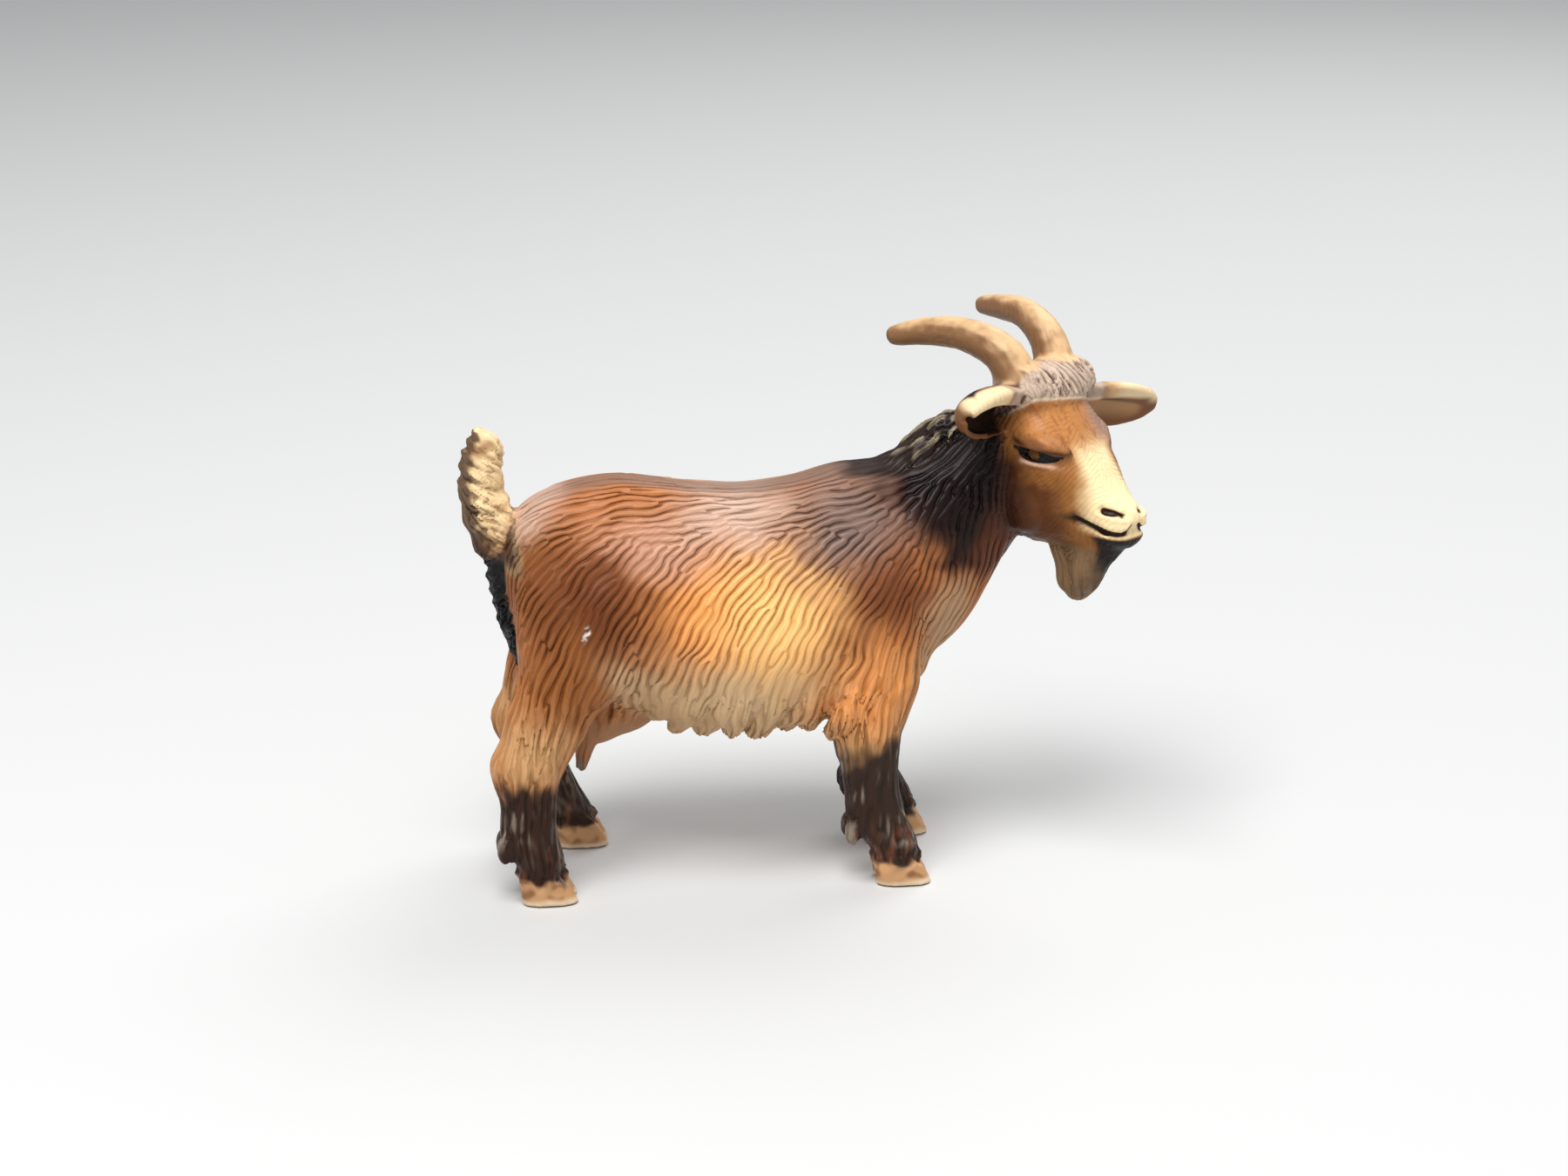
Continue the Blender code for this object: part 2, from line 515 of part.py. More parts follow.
def tail_path():
    """Middle line of the raised tail from inside the rump to its curled tip, with its half depth."""
    rise = TAIL_HEIGHT - TAIL_ROOT_HEIGHT
    half = TAIL_WIDTH / 2
    # Each row: back from the rump, share of the rise, half depth as a share
    shape = ((-2.6, 0.00, 1.00), (-0.2, 0.06, 1.12), (1.35, 0.28, 1.12), (2.15, 0.52, 1.0),
             (1.95, 0.76, 0.86), (1.25, 0.92, 0.66), (0.75, 0.98, 0.36))
    return [(RUMP_X - back, 0.0, TAIL_ROOT_HEIGHT + share * rise, deep * half)
            for back, share, deep in shape]


def add_tail(clay):
    """Raised tail whose hair lies in slanting ridges."""
    rows = [(x, y, z, deep, deep, deep * 0.86, 2.0) for x, y, z, deep in tail_path()]
    rows = catmull_rom(rows, 9)
    path = np.gradient(rows[:, :3], axis=0)
    across = np.array((0.0, 1.0, 0.0))
    rings = []
    for i, (row, tangent) in enumerate(zip(rows, path)):
        ring = section(row, tangent / np.linalg.norm(tangent), across, sides=40)
        turn = np.linspace(0.0, 2 * math.pi, 40, endpoint=False)
        phase = 2 * math.pi * TAIL_RIDGES * i / (len(rows) - 1)
        swell = 1 + 0.07 * np.sin(phase - 2.2 * np.sin(turn))
        rings.append(row[:3] + (ring - row[:3]) * swell[:, None])
    add_loft(clay, rings)


def add_breech(clay):
    """Column of dark curls between the thighs, below the tail."""
    for i in range(BREECH_CURLS):
        share = i / (BREECH_CURLS - 1)
        height = TAIL_ROOT_HEIGHT - 1.6 - share * BREECH_DROP
        x = RUMP_X - 0.2 + 1.1 * BREECH_DEPTH * share ** 1.8
        add_bead(clay, (x, 0.55 * math.sin(2.6 * i), height), (1.7, 2.2 - 0.5 * share, 1.15))
    core = [(RUMP_X + 3.0, 0.0, TAIL_ROOT_HEIGHT),
            (RUMP_X + 2.4, 0.0, TAIL_ROOT_HEIGHT - 0.5 * BREECH_DROP),
            (RUMP_X + 5.4, 0.0, TAIL_ROOT_HEIGHT - 1.1 * BREECH_DROP)]
    add_strand(clay, core, (BREECH_DEPTH, BREECH_DEPTH, 0.7 * BREECH_DEPTH))


def add_udder(clay):
    """Round udder between the hind legs with two teats."""
    base, half = BELLY_HEIGHT * 1.20, UDDER_WIDTH / 2
    x = HIND_ROOT_X + 1.2
    add_bead(clay, (x, 0.0, base), (half * 1.42, half, UDDER_DROP * 0.62))
    add_bead(clay, (x - 1.8, 0.0, base - UDDER_DROP * 0.30), (half * 0.93, half * 0.88, UDDER_DROP * 0.42))
    for side in (RIGHT, LEFT):
        y = side * UDDER_WIDTH * 0.26
        tip = base - UDDER_DROP * 0.62 - TEAT_LENGTH
        points = [(x - 2.4, y, base - UDDER_DROP * 0.40), (x - 3.1, y * 1.1, tip + TEAT_LENGTH * 0.55),
                  (x - 3.4, y * 1.15, tip)]
        add_strand(clay, points, (1.5, 1.0, 0.75))


def add_hem(clay):
    """Locks of belly hair that hang past the belly on both sides in an uneven hem."""
    for side in (RIGHT, LEFT):
        for i in range(HEM_LOCKS):
            share = 0.40 + 0.37 * i / (HEM_LOCKS - 1)
            angle = math.radians(-38 - 5 * math.sin(1.9 * i))
            root = trunk_point(share, angle)
            low = trunk_point(share, angle - math.radians(24))
            ragged = 0.2 + 0.25 * math.sin(2.7 * i)
            tip = low + np.array((-0.8 * HEM_LOCK_DROP, 0.0, -HEM_LOCK_DROP - ragged))
            root[1] *= 0.95
            low[1] *= 1.02
            points = [side_of(root, side), side_of(low, side), side_of(tip, side)]
            thick = LOCK_THICKNESS / 2
            add_strand(clay, points, (thick * 0.8, thick * 1.2, thick * 0.5))


def side_of(point, side):
    """The point, or its mirror image across the middle plane."""
    return np.array((point[0], side * point[1], point[2]))


# Carving on the fused skin

def smooth_step(value, low, high):
    """Nought below low, one above high, eased between."""
    share = np.clip((value - low) / (high - low), 0.0, 1.0)
    return share * share * (3 - 2 * share)


def carve_coat(points, normals):
    """Push the skin in and out in combed locks that turn from level on the back to upright below."""
    x, y, z = points.T
    height = (z - BELLY_HEIGHT) / (CROUP_HEIGHT - BELLY_HEIGHT)
    comb = x - BODY_LENGTH * (0.12 * height + 0.30 * height ** 3)
    wander = 0.9 * np.sin(0.31 * z + 0.17 * x) + 0.6 * np.sin(0.53 * z - 0.29 * x + 1.3 * np.sign(y))
    lock = np.floor((comb + wander) / LOCK_PITCH)
    across = (comb + wander) / LOCK_PITCH - lock
    crown = np.sin(math.pi * across) ** 0.7 - 0.65
    swell = np.sin(0.42 * z + 2.1 * lock + 1.7 * np.sin(lock * 1.3))
    wave = crown * (0.75 + 0.45 * swell)
    flank = smooth_step(np.abs(normals[:, 1]), 0.25, 0.6) * smooth_step(z, KNEE_HEIGHT, BELLY_HEIGHT + 2.0)
    flank *= 1 - smooth_step(height, 0.80, 0.98)
    flank *= 1 - smooth_step(x, FORE_HOOF_X + 3.0, FORE_HOOF_X + 7.0)
    return points + normals * (LOCK_DEPTH * wave * flank)[:, None]


def distance_to_line(points, line):
    """Distance of each point to a chain of straight stretches."""
    nearest = np.full(len(points), np.inf)
    for start, end in zip(line, line[1:]):
        run = end - start
        share = np.clip((points - start) @ run / (run @ run), 0.0, 1.0)
        nearest = np.minimum(nearest, np.linalg.norm(points - start - share[:, None] * run, axis=1))
    return nearest


def carve_face(points, normals):
    """Press in the nostrils, the mouth line and the crease round each eye."""
    half, muzzle = HEAD_WIDTH / 2, MUZZLE_WIDTH / 2
    for side in (RIGHT, LEFT):
        nostril = [head_point(0.87 * HEAD_LENGTH, side * muzzle * 0.92, -0.72 * HEAD_DEPTH),
                   head_point(0.95 * HEAD_LENGTH, side * muzzle * 0.50, -0.752 * HEAD_DEPTH)]
        mouth = [head_point(0.62 * HEAD_LENGTH, side * muzzle * 1.35, -0.79 * HEAD_DEPTH),
                 head_point(0.78 * HEAD_LENGTH, side * muzzle * 1.08, -0.835 * HEAD_DEPTH),
                 head_point(0.92 * HEAD_LENGTH, side * muzzle * 0.70, -0.845 * HEAD_DEPTH),
                 head_point(0.99 * HEAD_LENGTH, 0.0, -0.835 * HEAD_DEPTH)]
        socket = [head_point(0.20 * HEAD_LENGTH, side * half, -0.44 * HEAD_DEPTH),
                  head_point(0.36 * HEAD_LENGTH, side * half, -0.475 * HEAD_DEPTH),
                  head_point(0.50 * HEAD_LENGTH, side * half * 0.84, -0.455 * HEAD_DEPTH)]
        for line, reach, depth in ((nostril, 0.55, 0.55), (mouth, 0.55, 0.45), (socket, 0.7, 0.30)):
            press = np.exp(-(distance_to_line(points, line) / reach) ** 2)
            points = points - normals * (depth * press)[:, None]
    return points


# Skin

def fuse(clay):
    """Fuse the overlapping forms into one skin with a voxel remesh and soften their creases."""
    mesh = bpy.data.meshes.new("forms")
    clay.to_mesh(mesh)
    clay.free()
    forms = bpy.data.objects.new("forms", mesh)
    bpy.context.scene.collection.objects.link(forms)
    remesh = forms.modifiers.new("fuse", 'REMESH')
    remesh.mode = 'VOXEL'
    remesh.voxel_size = VOXEL * MM
    soften = forms.modifiers.new("soften", 'SMOOTH')
    soften.factor = 0.5
    soften.iterations = 5
    bpy.context.view_layer.update()
    skin = bpy.data.meshes.new_from_object(forms.evaluated_get(bpy.context.evaluated_depsgraph_get()))
    bpy.data.objects.remove(forms, do_unlink=True)
    return skin


def carve(skin):
    """Move the skin's points by the carving of the coat and the face."""
    points = np.empty(len(skin.vertices) * 3)
    skin.vertices.foreach_get("co", points)
    points = points.reshape(-1, 3) / MM
    normals = np.empty(len(skin.vertices) * 3)
    skin.vertices.foreach_get("normal", normals)
    normals = normals.reshape(-1, 3)
    points = carve_face(carve_coat(points, normals), normals)
    skin.vertices.foreach_set("co", (points * MM).ravel())
    skin.update()


def thin(goat):
    """Thin the whole skin, then the rest without the head, so that the face keeps finer triangles."""
    first = goat.modifiers.new("thin", 'DECIMATE')
    first.ratio = FIRST_THINNING / (2 * len(goat.data.polygons))
    first.use_collapse_triangulate = True
    bpy.context.view_layer.update()
    mesh = bpy.data.meshes.new_from_object(goat.evaluated_get(bpy.context.evaluated_depsgraph_get()))
    goat.modifiers.clear()
    old = goat.data
    goat.data = mesh
    bpy.data.meshes.remove(old)
    ahead, _ = head_axes()
    nape = head_point(-0.35 * HEAD_LENGTH, 0.0, 0.0)
    rest = [vertex.index for vertex in mesh.vertices
            if (np.array(vertex.co) / MM - nape) @ ahead < 0 or vertex.co.z < FINE_FACE_HEIGHT * MM]
    goat.vertex_groups.new(name="rest").add(rest, 1.0, 'REPLACE')
    second = goat.modifiers.new("thin_rest", 'DECIMATE')
    second.ratio = TRIANGLES / len(mesh.polygons)
    second.vertex_group = "rest"
    second.vertex_group_factor = 0.0
    second.use_collapse_triangulate = True


def cut_soles(goat):
    """Replace the goat's mesh by its thinned one, trimmed flat at the soles and closed there."""
    bpy.context.view_layer.update()
    mesh = bpy.data.meshes.new_from_object(goat.evaluated_get(bpy.context.evaluated_depsgraph_get()))
    goat.modifiers.clear()
    goat.vertex_groups.clear()
    body = bmesh.new()
    body.from_mesh(mesh)
    geometry = body.verts[:] + body.edges[:] + body.faces[:]
    bmesh.ops.bisect_plane(body, geom=geometry, dist=1e-6, plane_co=(0, 0, SOLE_TRIM * MM),
                           plane_no=(0, 0, -1), clear_outer=True)
    rim = [edge for edge in body.edges if edge.is_boundary]
    bmesh.ops.holes_fill(body, edges=rim, sides=0)
    bmesh.ops.triangulate(body, faces=[face for face in body.faces if len(face.verts) > 3])
    bmesh.ops.recalc_face_normals(body, faces=body.faces)
    body.to_mesh(mesh)
    body.free()
    old = goat.data
    goat.data = mesh
    bpy.data.meshes.remove(old)


def centre(goat):
    """Shift the mesh so that the middle of the goat's box stands over the origin."""
    points = np.empty(len(goat.data.vertices) * 3)
    goat.data.vertices.foreach_get("co", points)
    points = points.reshape(-1, 3)
    middle = (points.min(axis=0) + points.max(axis=0)) / 2
    middle[2] = SOLE_TRIM * MM
    goat.data.vertices.foreach_set("co", (points - middle).ravel())
    goat.data.update()
    return middle


def coat_material():
    """Satin painted plastic in the goat's overall brown."""
    material = bpy.data.materials.new("painted_plastic")
    material.use_nodes = True
    shader = material.node_tree.nodes["Principled BSDF"]
    shader.inputs["Base Color"].default_value = COAT_COLOUR
    shader.inputs["Roughness"].default_value = COAT_ROUGHNESS
    shader.inputs["Metallic"].default_value = 0.0
    return material


def model_clay():
    """All the forms of the goat, pressed into one another."""
    clay = bmesh.new()
    add_form(clay, trunk_rows(), axis=(1.0, 0.0, 0.0))
    add_form(clay, neck_rows() + nape_rows())
    add_head(clay)
    add_horns(clay)
    add_ears(clay)
    add_beard(clay)
    add_forelock(clay)
    add_mane(clay)
    add_fore_leg(clay, RIGHT, 0.0)
    add_fore_leg(clay, LEFT, FORE_STEP)
    add_hind_leg(clay, RIGHT, 0.0)
    add_hind_leg(clay, LEFT, HIND_STEP)
    add_tail(clay)
    add_breech(clay)
    add_udder(clay)
    add_hem(clay)
    bmesh.ops.recalc_face_normals(clay, faces=clay.faces)
    return clay


def build():
    """Model the goat and put it in its collection."""
    clear_scene()
    collection = bpy.data.collections.new("goat_figurine")
    bpy.context.scene.collection.children.link(collection)
    skin = fuse(model_clay())
    skin.name = "goat"
    carve(skin)
    goat = bpy.data.objects.new("goat", skin)
    collection.objects.link(goat)
    thin(goat)
    cut_soles(goat)
    goat.data.shade_smooth()
    goat.data.materials.clear()
    goat.data.materials.append(coat_material())
    return goat, centre(goat)


GOAT, SHIFT = build()
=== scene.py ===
"""Looks of the goat figurine: its moulded skin with the carved coat, and its airbrushed paint, with painted
shade and highlights in it.

Places and sizes are millimetres in the animal's own frame: +X ahead, +Y to its left, +Z up.
Colours are linear red, green and blue.
"""

import itertools
import math

import bmesh
import bpy
import numpy as np
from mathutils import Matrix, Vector
from mathutils.bvhtree import BVHTree


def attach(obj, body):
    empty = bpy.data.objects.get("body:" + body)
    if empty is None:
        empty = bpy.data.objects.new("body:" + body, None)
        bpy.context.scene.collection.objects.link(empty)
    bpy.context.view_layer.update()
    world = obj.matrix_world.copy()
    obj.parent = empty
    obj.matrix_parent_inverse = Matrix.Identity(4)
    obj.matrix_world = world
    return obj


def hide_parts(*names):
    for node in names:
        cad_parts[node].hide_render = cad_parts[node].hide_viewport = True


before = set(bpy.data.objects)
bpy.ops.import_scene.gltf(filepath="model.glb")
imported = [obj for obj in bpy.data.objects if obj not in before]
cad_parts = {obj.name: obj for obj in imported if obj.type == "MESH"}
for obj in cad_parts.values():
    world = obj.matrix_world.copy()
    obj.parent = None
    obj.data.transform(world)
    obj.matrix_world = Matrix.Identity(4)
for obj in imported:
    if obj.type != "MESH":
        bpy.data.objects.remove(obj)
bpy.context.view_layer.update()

MM = 0.001
FRAME_SHIFT = np.array((3.396, -0.133, 0.5))
RIGHT = -1
LEFT = 1

# Trunk and neck

BELLY_HEIGHT = 17.6
CROUP_HEIGHT = 46.7
RUMP_X = -31.0
NECK_ROOT = np.array((6.0, 0.0, 36.0))
NECK_TOP = np.array((25.2, 1.0, 49.3))
TAIL_ROOT_HEIGHT = 38.4

# Head

POLL = np.array((27.7, -1.0, 57.5))
HEAD_TURN = math.radians(-52.0)
HEAD_LENGTH = 15.0
HEAD_WIDTH = 11.4
HORN_LENGTH = {RIGHT: 15.6, LEFT: 13.5}
HORN_RISE = {RIGHT: 3.8, LEFT: 4.85}
HORN_DROOP = {RIGHT: 0.46, LEFT: 0.16}
HORN_SPREAD = {RIGHT: 7.2, LEFT: 6.0}
HORN_THICKNESS = 4.7
EAR_LENGTH = 11.2
EAR_WIDTH = 6.2
EAR_SEAT = {RIGHT: 3.5, LEFT: 5.1}
EAR_RISE = {RIGHT: 1.6, LEFT: -0.7}
EAR_LEAN = {RIGHT: 0.17, LEFT: 0.45}
EAR_BOWL = {RIGHT: 0.9, LEFT: 0.0}
EAR_ROLL = {RIGHT: 0.8, LEFT: 0.5}

# Legs

FORE_PAINT_HEIGHT = 17.2
HIND_PAINT_HEIGHT = 14.2
HOOF_TOP = 3.1
HIND_LEG_X = -17.0

# Skin

BODY_VOXEL = 0.203
HEAD_VOXEL = 0.165
# Softening of the fused skin: first passes over all of it, then its evening out in square millimetres
STEP_PASSES = 3
EVENING = 3.0
SEAM_OVERLAP = 0.8
SEAM_TUCK = 0.25
# Each seam: a point on its plane and the plane's direction, from tail to nose
REAR_SEAM = (np.array((-17.0, 0.0, 30.0)), np.array((1.0, 0.0, 0.0)))
FRONT_SEAM = (np.array((2.5, 0.0, 30.0)), np.array((1.0, 0.0, 0.0)))
NECK_SEAM = (np.array((21.5, 0.0, 46.0)), np.array((0.95, 0.0, 0.312)))

# Combed hair: the waves' lattice fills this box round the animal

COMB_LOW = np.array((-46.0, -22.0, -6.0))
COMB_HIGH = np.array((52.0, 22.0, 76.0))
# Each wave: its width as a share of one lock's, its lattice's cell and its seed
LOCK_WAVE = (1.0, 4.0, 21)
STRAND_WAVE = (0.5, 2.2, 22)
CLUMP_WAVE = (3.3, 5.0, 23)
# Even and uneven part of a lock's groove, and the swell of the clumps and over the hooves
GROOVE_EVEN = 0.14
GROOVE_UNEVEN = 0.20
CLUMP_SWELL = 0.08
CORONET_SWELL = 0.32
# Passes of softening whose result the skin stands proud of, for the dry brushing
PROUD_PASSES = 12


# Numbers and noise

def ramp(value, low, high):
    """0 below low and 1 above high, with 3t^2 - 2t^3 between; low may lie above high."""
    t = np.clip((value - low) / (high - low), 0.0, 1.0)
    return t * t * (3 - 2 * t)


def band(value, middle, width):
    """Soft stripe: exp(-(d / width)^2) of the distance from its middle."""
    return np.exp(-((value - middle) / width) ** 2)


def unit(vectors):
    """The same directions with a length of 1."""
    return vectors / np.maximum(np.linalg.norm(vectors, axis=-1, keepdims=True), 1e-9)


LATTICE_SIDE = 32
SLOPES = unit(np.random.default_rng(11).normal(size=(LATTICE_SIDE ** 3, 3)))
LATTICE_TURN = np.linalg.qr(np.random.default_rng(5).random((3, 3)))[0]


def solid_noise(points, cell):
    """Even noise in space, about -1 to 1: a random slope at each corner of a turned cubic lattice, blended
    between the eight corners by 6t^5 - 15t^4 + 10t^3."""
    place = points @ LATTICE_TURN / cell
    corner = np.floor(place).astype(np.int64)
    t = place - corner
    blend = t * t * t * (t * (t * 6 - 15) + 10)
    total = np.zeros(len(points))
    for step in itertools.product((0, 1), repeat=3):
        index = (corner + step) % LATTICE_SIDE
        index = (index[:, 0] * LATTICE_SIDE + index[:, 1]) * LATTICE_SIDE + index[:, 2]
        share = np.abs(1 - np.array(step) - blend).prod(axis=1)
        total += share * np.einsum("ij,ij->i", SLOPES[index], t - step)
    return total * 1.7


# Places on the animal

HEAD_AHEAD = np.array((math.cos(HEAD_TURN), math.sin(HEAD_TURN), 0.0))
HEAD_ASIDE = np.array((-math.sin(HEAD_TURN), math.cos(HEAD_TURN), 0.0))


def head_point(forward, left, up):
    """Place of a point that is given from the poll along the turned head."""
    return POLL + HEAD_AHEAD * forward + HEAD_ASIDE * left + np.array((0.0, 0.0, up))


def head_places(points):
    """Forward, left and up of every point, seen from the poll."""
    away = points - POLL
    return away @ HEAD_AHEAD, away @ HEAD_ASIDE, away[:, 2]


def distance_to_path(points, path):
    """Shortest distance from every point to a path of straight stretches, and the path's share there."""
    best = np.full(len(points), 1e9)
    share = np.zeros(len(points))
    for i, (a, b) in enumerate(zip(path[:-1], path[1:])):
        along = b - a
        t = np.clip((points - a) @ along / max(along @ along, 1e-12), 0, 1)
        away = np.linalg.norm(points - a - t[:, None] * along, axis=1)
        nearer = away < best
        best = np.where(nearer, away, best)
        share = np.where(nearer, (i + t) / (len(path) - 1), share)
    return best, share


def horn_path(side):
    """Middle line of a horn: it rises from the poll, arcs back and spreads."""
    # Each row: back, outward and up as shares of the horn's own sizes
    shape = ((0.01, 1.03, 0.12), (0.14, 1.14, 0.66), (0.40, 1.38, 0.98), (0.70, 1.66, 1.0),
             (0.93, 1.87, 1.0), (1.0, 1.93, 1.0))
    base = HORN_SPREAD[side] / 2
    path = []
    for back, out, up in shape:
        rise = (up - HORN_DROOP[side] * back ** 4) * HORN_RISE[side]
        path.append(head_point(-back * HORN_LENGTH[side], side * out * base, rise))
    return path


def ear_axes(side):
    """Middle of an ear's root in its rim's plane, and the directions along it, out of its front and up."""
    lean, rise = EAR_LEAN[side], EAR_RISE[side] / EAR_LENGTH
    outward = unit(HEAD_ASIDE * side + HEAD_AHEAD * lean + np.array((0.0, 0.0, rise)))
    mouth = HEAD_AHEAD * 0.90 + np.array((0.0, 0.0, -0.44))
    mouth = unit(mouth - outward * (mouth @ outward))
    upward = np.cross(mouth, outward) * side
    root = head_point(0.07 * HEAD_LENGTH, side * HEAD_WIDTH * 0.40, -EAR_SEAT[side])
    return root + mouth * EAR_BOWL[side], outward, mouth, upward


# Surfaces

def smooth_path(points, steps):
    """Catmull-Rom curve through the points: each stretch a cubic that leaves along its neighbours' chord."""
    rows = np.asarray(points, float)
    padded = np.vstack((2 * rows[0] - rows[1], rows, 2 * rows[-1] - rows[-2]))
    before, start, end, after = padded[:-3], padded[1:-2], padded[2:-1], padded[3:]
    t = (np.arange(steps) / steps)[None, :, None]
    curve = 0.5 * (2 * start[:, None] + (end - before)[:, None] * t
                   + (2 * before - 5 * start + 4 * end - after)[:, None] * t ** 2
                   + (3 * start - before - 3 * end + after)[:, None] * t ** 3)
    return np.vstack((curve.reshape(-1, rows.shape[1]), rows[-1]))


class Clay:
    """Closed forms gathered as one list of vertices and faces, before they are fused."""

    def __init__(self):
        self.points = []
        self.faces = []
        self.count = 0

    def add(self, points, faces):
        """Takes in one more closed form."""
        self.points.append(points)
        self.faces.extend([[self.count + i for i in face] for face in faces])
        self.count += len(points)

    def sweep(self, path, radii, face=(0.0, 0.0, 1.0), flat=1.0, around=10, steps=4):
        """Tapered lock: p(u, v) = path(u) + r(u) (cos v side + flat sin v face), closed by its end rings."""
        rows = smooth_path(np.column_stack((path, radii)), steps)
        middle, radius = rows[:, :3], np.maximum(rows[:, 3], 0.03)
        tangent = unit(np.gradient(middle, axis=0))
        side = unit(np.cross(tangent, face))
        up = np.cross(side, tangent)
        turn = np.linspace(0, 2 * math.pi, around, endpoint=False)
        cosine, sine = np.cos(turn)[None, :, None], np.sin(turn)[None, :, None]
        ring = cosine * side[:, None] + flat * sine * up[:, None]
        points = (middle[:, None] + radius[:, None, None] * ring).reshape(-1, 3)
        a = np.arange(len(rows) - 1)[:, None] * around + np.arange(around)
        b = np.arange(len(rows) - 1)[:, None] * around + (np.arange(around) + 1) % around
        faces = np.stack((a, b, b + around, a + around), axis=-1).reshape(-1, 4).tolist()
        last = (len(rows) - 1) * around
        self.add(points, faces + [list(range(around))[::-1], list(range(last, last + around))])

    def bead(self, centre, radii, turn=0.0, around=16):
        """Ellipsoid: p(u, v) = centre + turned (a sin u cos v, b sin u sin v, c cos u)."""
        share = np.linspace(0.06, 0.94, around // 2) * math.pi
        circle = np.linspace(0, 2 * math.pi, around, endpoint=False)
        u, v = np.meshgrid(share, circle, indexing="ij")
        local = np.stack((np.sin(u) * np.cos(v), np.sin(u) * np.sin(v), np.cos(u)), axis=-1) * radii
        c, s = math.cos(turn), math.sin(turn)
        points = local.reshape(-1, 3) @ np.array(((c, s, 0), (-s, c, 0), (0, 0, 1))) + centre
        rows = len(share)
        a = np.arange(rows - 1)[:, None] * around + np.arange(around)
        b = np.arange(rows - 1)[:, None] * around + (np.arange(around) + 1) % around
        faces = np.stack((a, a + around, b + around, b), axis=-1).reshape(-1, 4).tolist()
        last = (rows - 1) * around
        self.add(points, faces + [list(range(around)), list(range(last, last + around))[::-1]])


class Surface:
    """The plain moulded skin, on which locks and lids are laid."""

    def __init__(self, mesh):
        self.tree = BVHTree.FromPolygons([v.co / MM + Vector(FRAME_SHIFT) for v in mesh.vertices],
                                         [p.vertices for p in mesh.polygons])

    def lay(self, path, sink=0.0):
        """Brings a path's points to their nearest places on the skin, sunk that far; also the mean normal."""
        places, normals = [], []
        for point in path:
            place, normal, *_ = self.tree.find_nearest(Vector(point))
            places.append(np.array(place) - np.array(normal) * sink)
            normals.append(np.array(normal))
        return np.array(places), unit(np.mean(normals, axis=0))


# Forms laid over the plain skin

FORELOCK_STRANDS = 21
MANE_TUFTS = 8
HEM_LOCKS = 10
BREECH_CURLS = 26
TAIL_RIDGES = 9


def forelock(clay, skin):
    """Fine wavy strands that fall from between the horns to the straight line above the brow."""
    for i in range(FORELOCK_STRANDS):
        share = 2 * i / (FORELOCK_STRANDS - 1) - 1
        sway = 0.30 * math.sin(2.4 * i)
        left = share * 5.0
        path = [head_point(-0.6, left * 0.70 - 0.5, 1.2), head_point(1.6, left * 0.84 + sway - 0.3, 0.9),
                head_point(3.2, left * 0.94 - sway, -0.5),
                head_point(4.2 - 0.8 * share ** 2, left + sway, -1.7),
                head_point(4.6 - 2.0 * share ** 2, left * 1.02 - 0.4 * sway, -2.9)]
        places, out = skin.lay(path, sink=0.08)
        clay.sweep(places, (0.22, 0.32, 0.34, 0.32, 0.26), out)


def face_roll(clay, skin, side, line, radii, sink):
    """Thin roll on the face, along a line given as forward, outward and up from the poll."""
    places, out = skin.lay([head_point(f, side * aside, u) for f, aside, u in line], sink=sink)
    clay.sweep(places, radii, out)


def eyelids(clay, skin):
    """Heavy upper lid and thin lower lid of each eye."""
    upper = ((1.6, 5.3, -7.0), (2.9, 5.3, -6.75), (4.7, 5.2, -6.65), (6.3, 4.8, -7.05), (7.9, 4.0, -7.9))
    lower = ((2.5, 5.3, -8.3), (3.6, 5.3, -8.9), (5.0, 5.2, -9.05), (6.4, 4.8, -8.85), (7.6, 4.2, -8.4))
    for side in (RIGHT, LEFT):
        face_roll(clay, skin, side, upper, (0.12, 0.30, 0.36, 0.28, 0.1), 0.06)
        face_roll(clay, skin, side, lower, (0.1, 0.26, 0.30, 0.24, 0.1), 0.02)


def muzzle_rolls(clay, skin):
    """Rolled edge under each nostril, and the lower lip."""
    under = ((11.2, 2.9, -13.5), (12.6, 2.7, -13.75), (14.0, 2.1, -14.0), (15.2, 0.9, -14.1))
    lip = ((9.6, 3.4, -15.1), (11.2, 2.8, -15.7), (12.8, 2.2, -16.0), (14.2, 0.9, -15.9))
    for side in (RIGHT, LEFT):
        face_roll(clay, skin, side, under, (0.2, 0.5, 0.45, 0.1), 0.1)
        face_roll(clay, skin, side, lip, (0.1, 0.2, 0.24, 0.1), 0.1)


def beard_locks(clay, skin):
    """Two thick smooth lobes on each face of the beard."""
    for side in (RIGHT, LEFT):
        for start, end, drop in ((4.6, 5.6, -25.0), (8.6, 8.0, -24.6)):
            path = [head_point(start + (end - start) * t, side * 2.2 * (1 - 0.6 * t),
                               -18.6 + (drop + 18.6) * t) for t in (0.0, 0.35, 0.7, 1.0)]
            places, out = skin.lay(path, sink=0.55)
            clay.sweep(places, (0.7, 1.25, 1.1, 0.4), out)


def ear_rims(clay):
    """Rolled rim round the open front of each ear, thick above and thin below."""
    for side in (RIGHT, LEFT):
        root, outward, mouth, upward = ear_axes(side)
        # Each row: share of the ear's length and half width as a share of its width
        edge = ((0.40, 0.41), (0.52, 0.42), (0.64, 0.40), (0.76, 0.34), (0.88, 0.24), (0.96, 0.08))
        for over, thick in ((1, EAR_ROLL[side]), (-1, 0.36)):
            path = [root + outward * share * EAR_LENGTH + upward * over * half * EAR_WIDTH - mouth * 0.25
                    for share, half in edge]
            clay.sweep(path, [thick * k for k in (0.6, 0.9, 1.0, 1.0, 0.9, 0.7)], mouth)


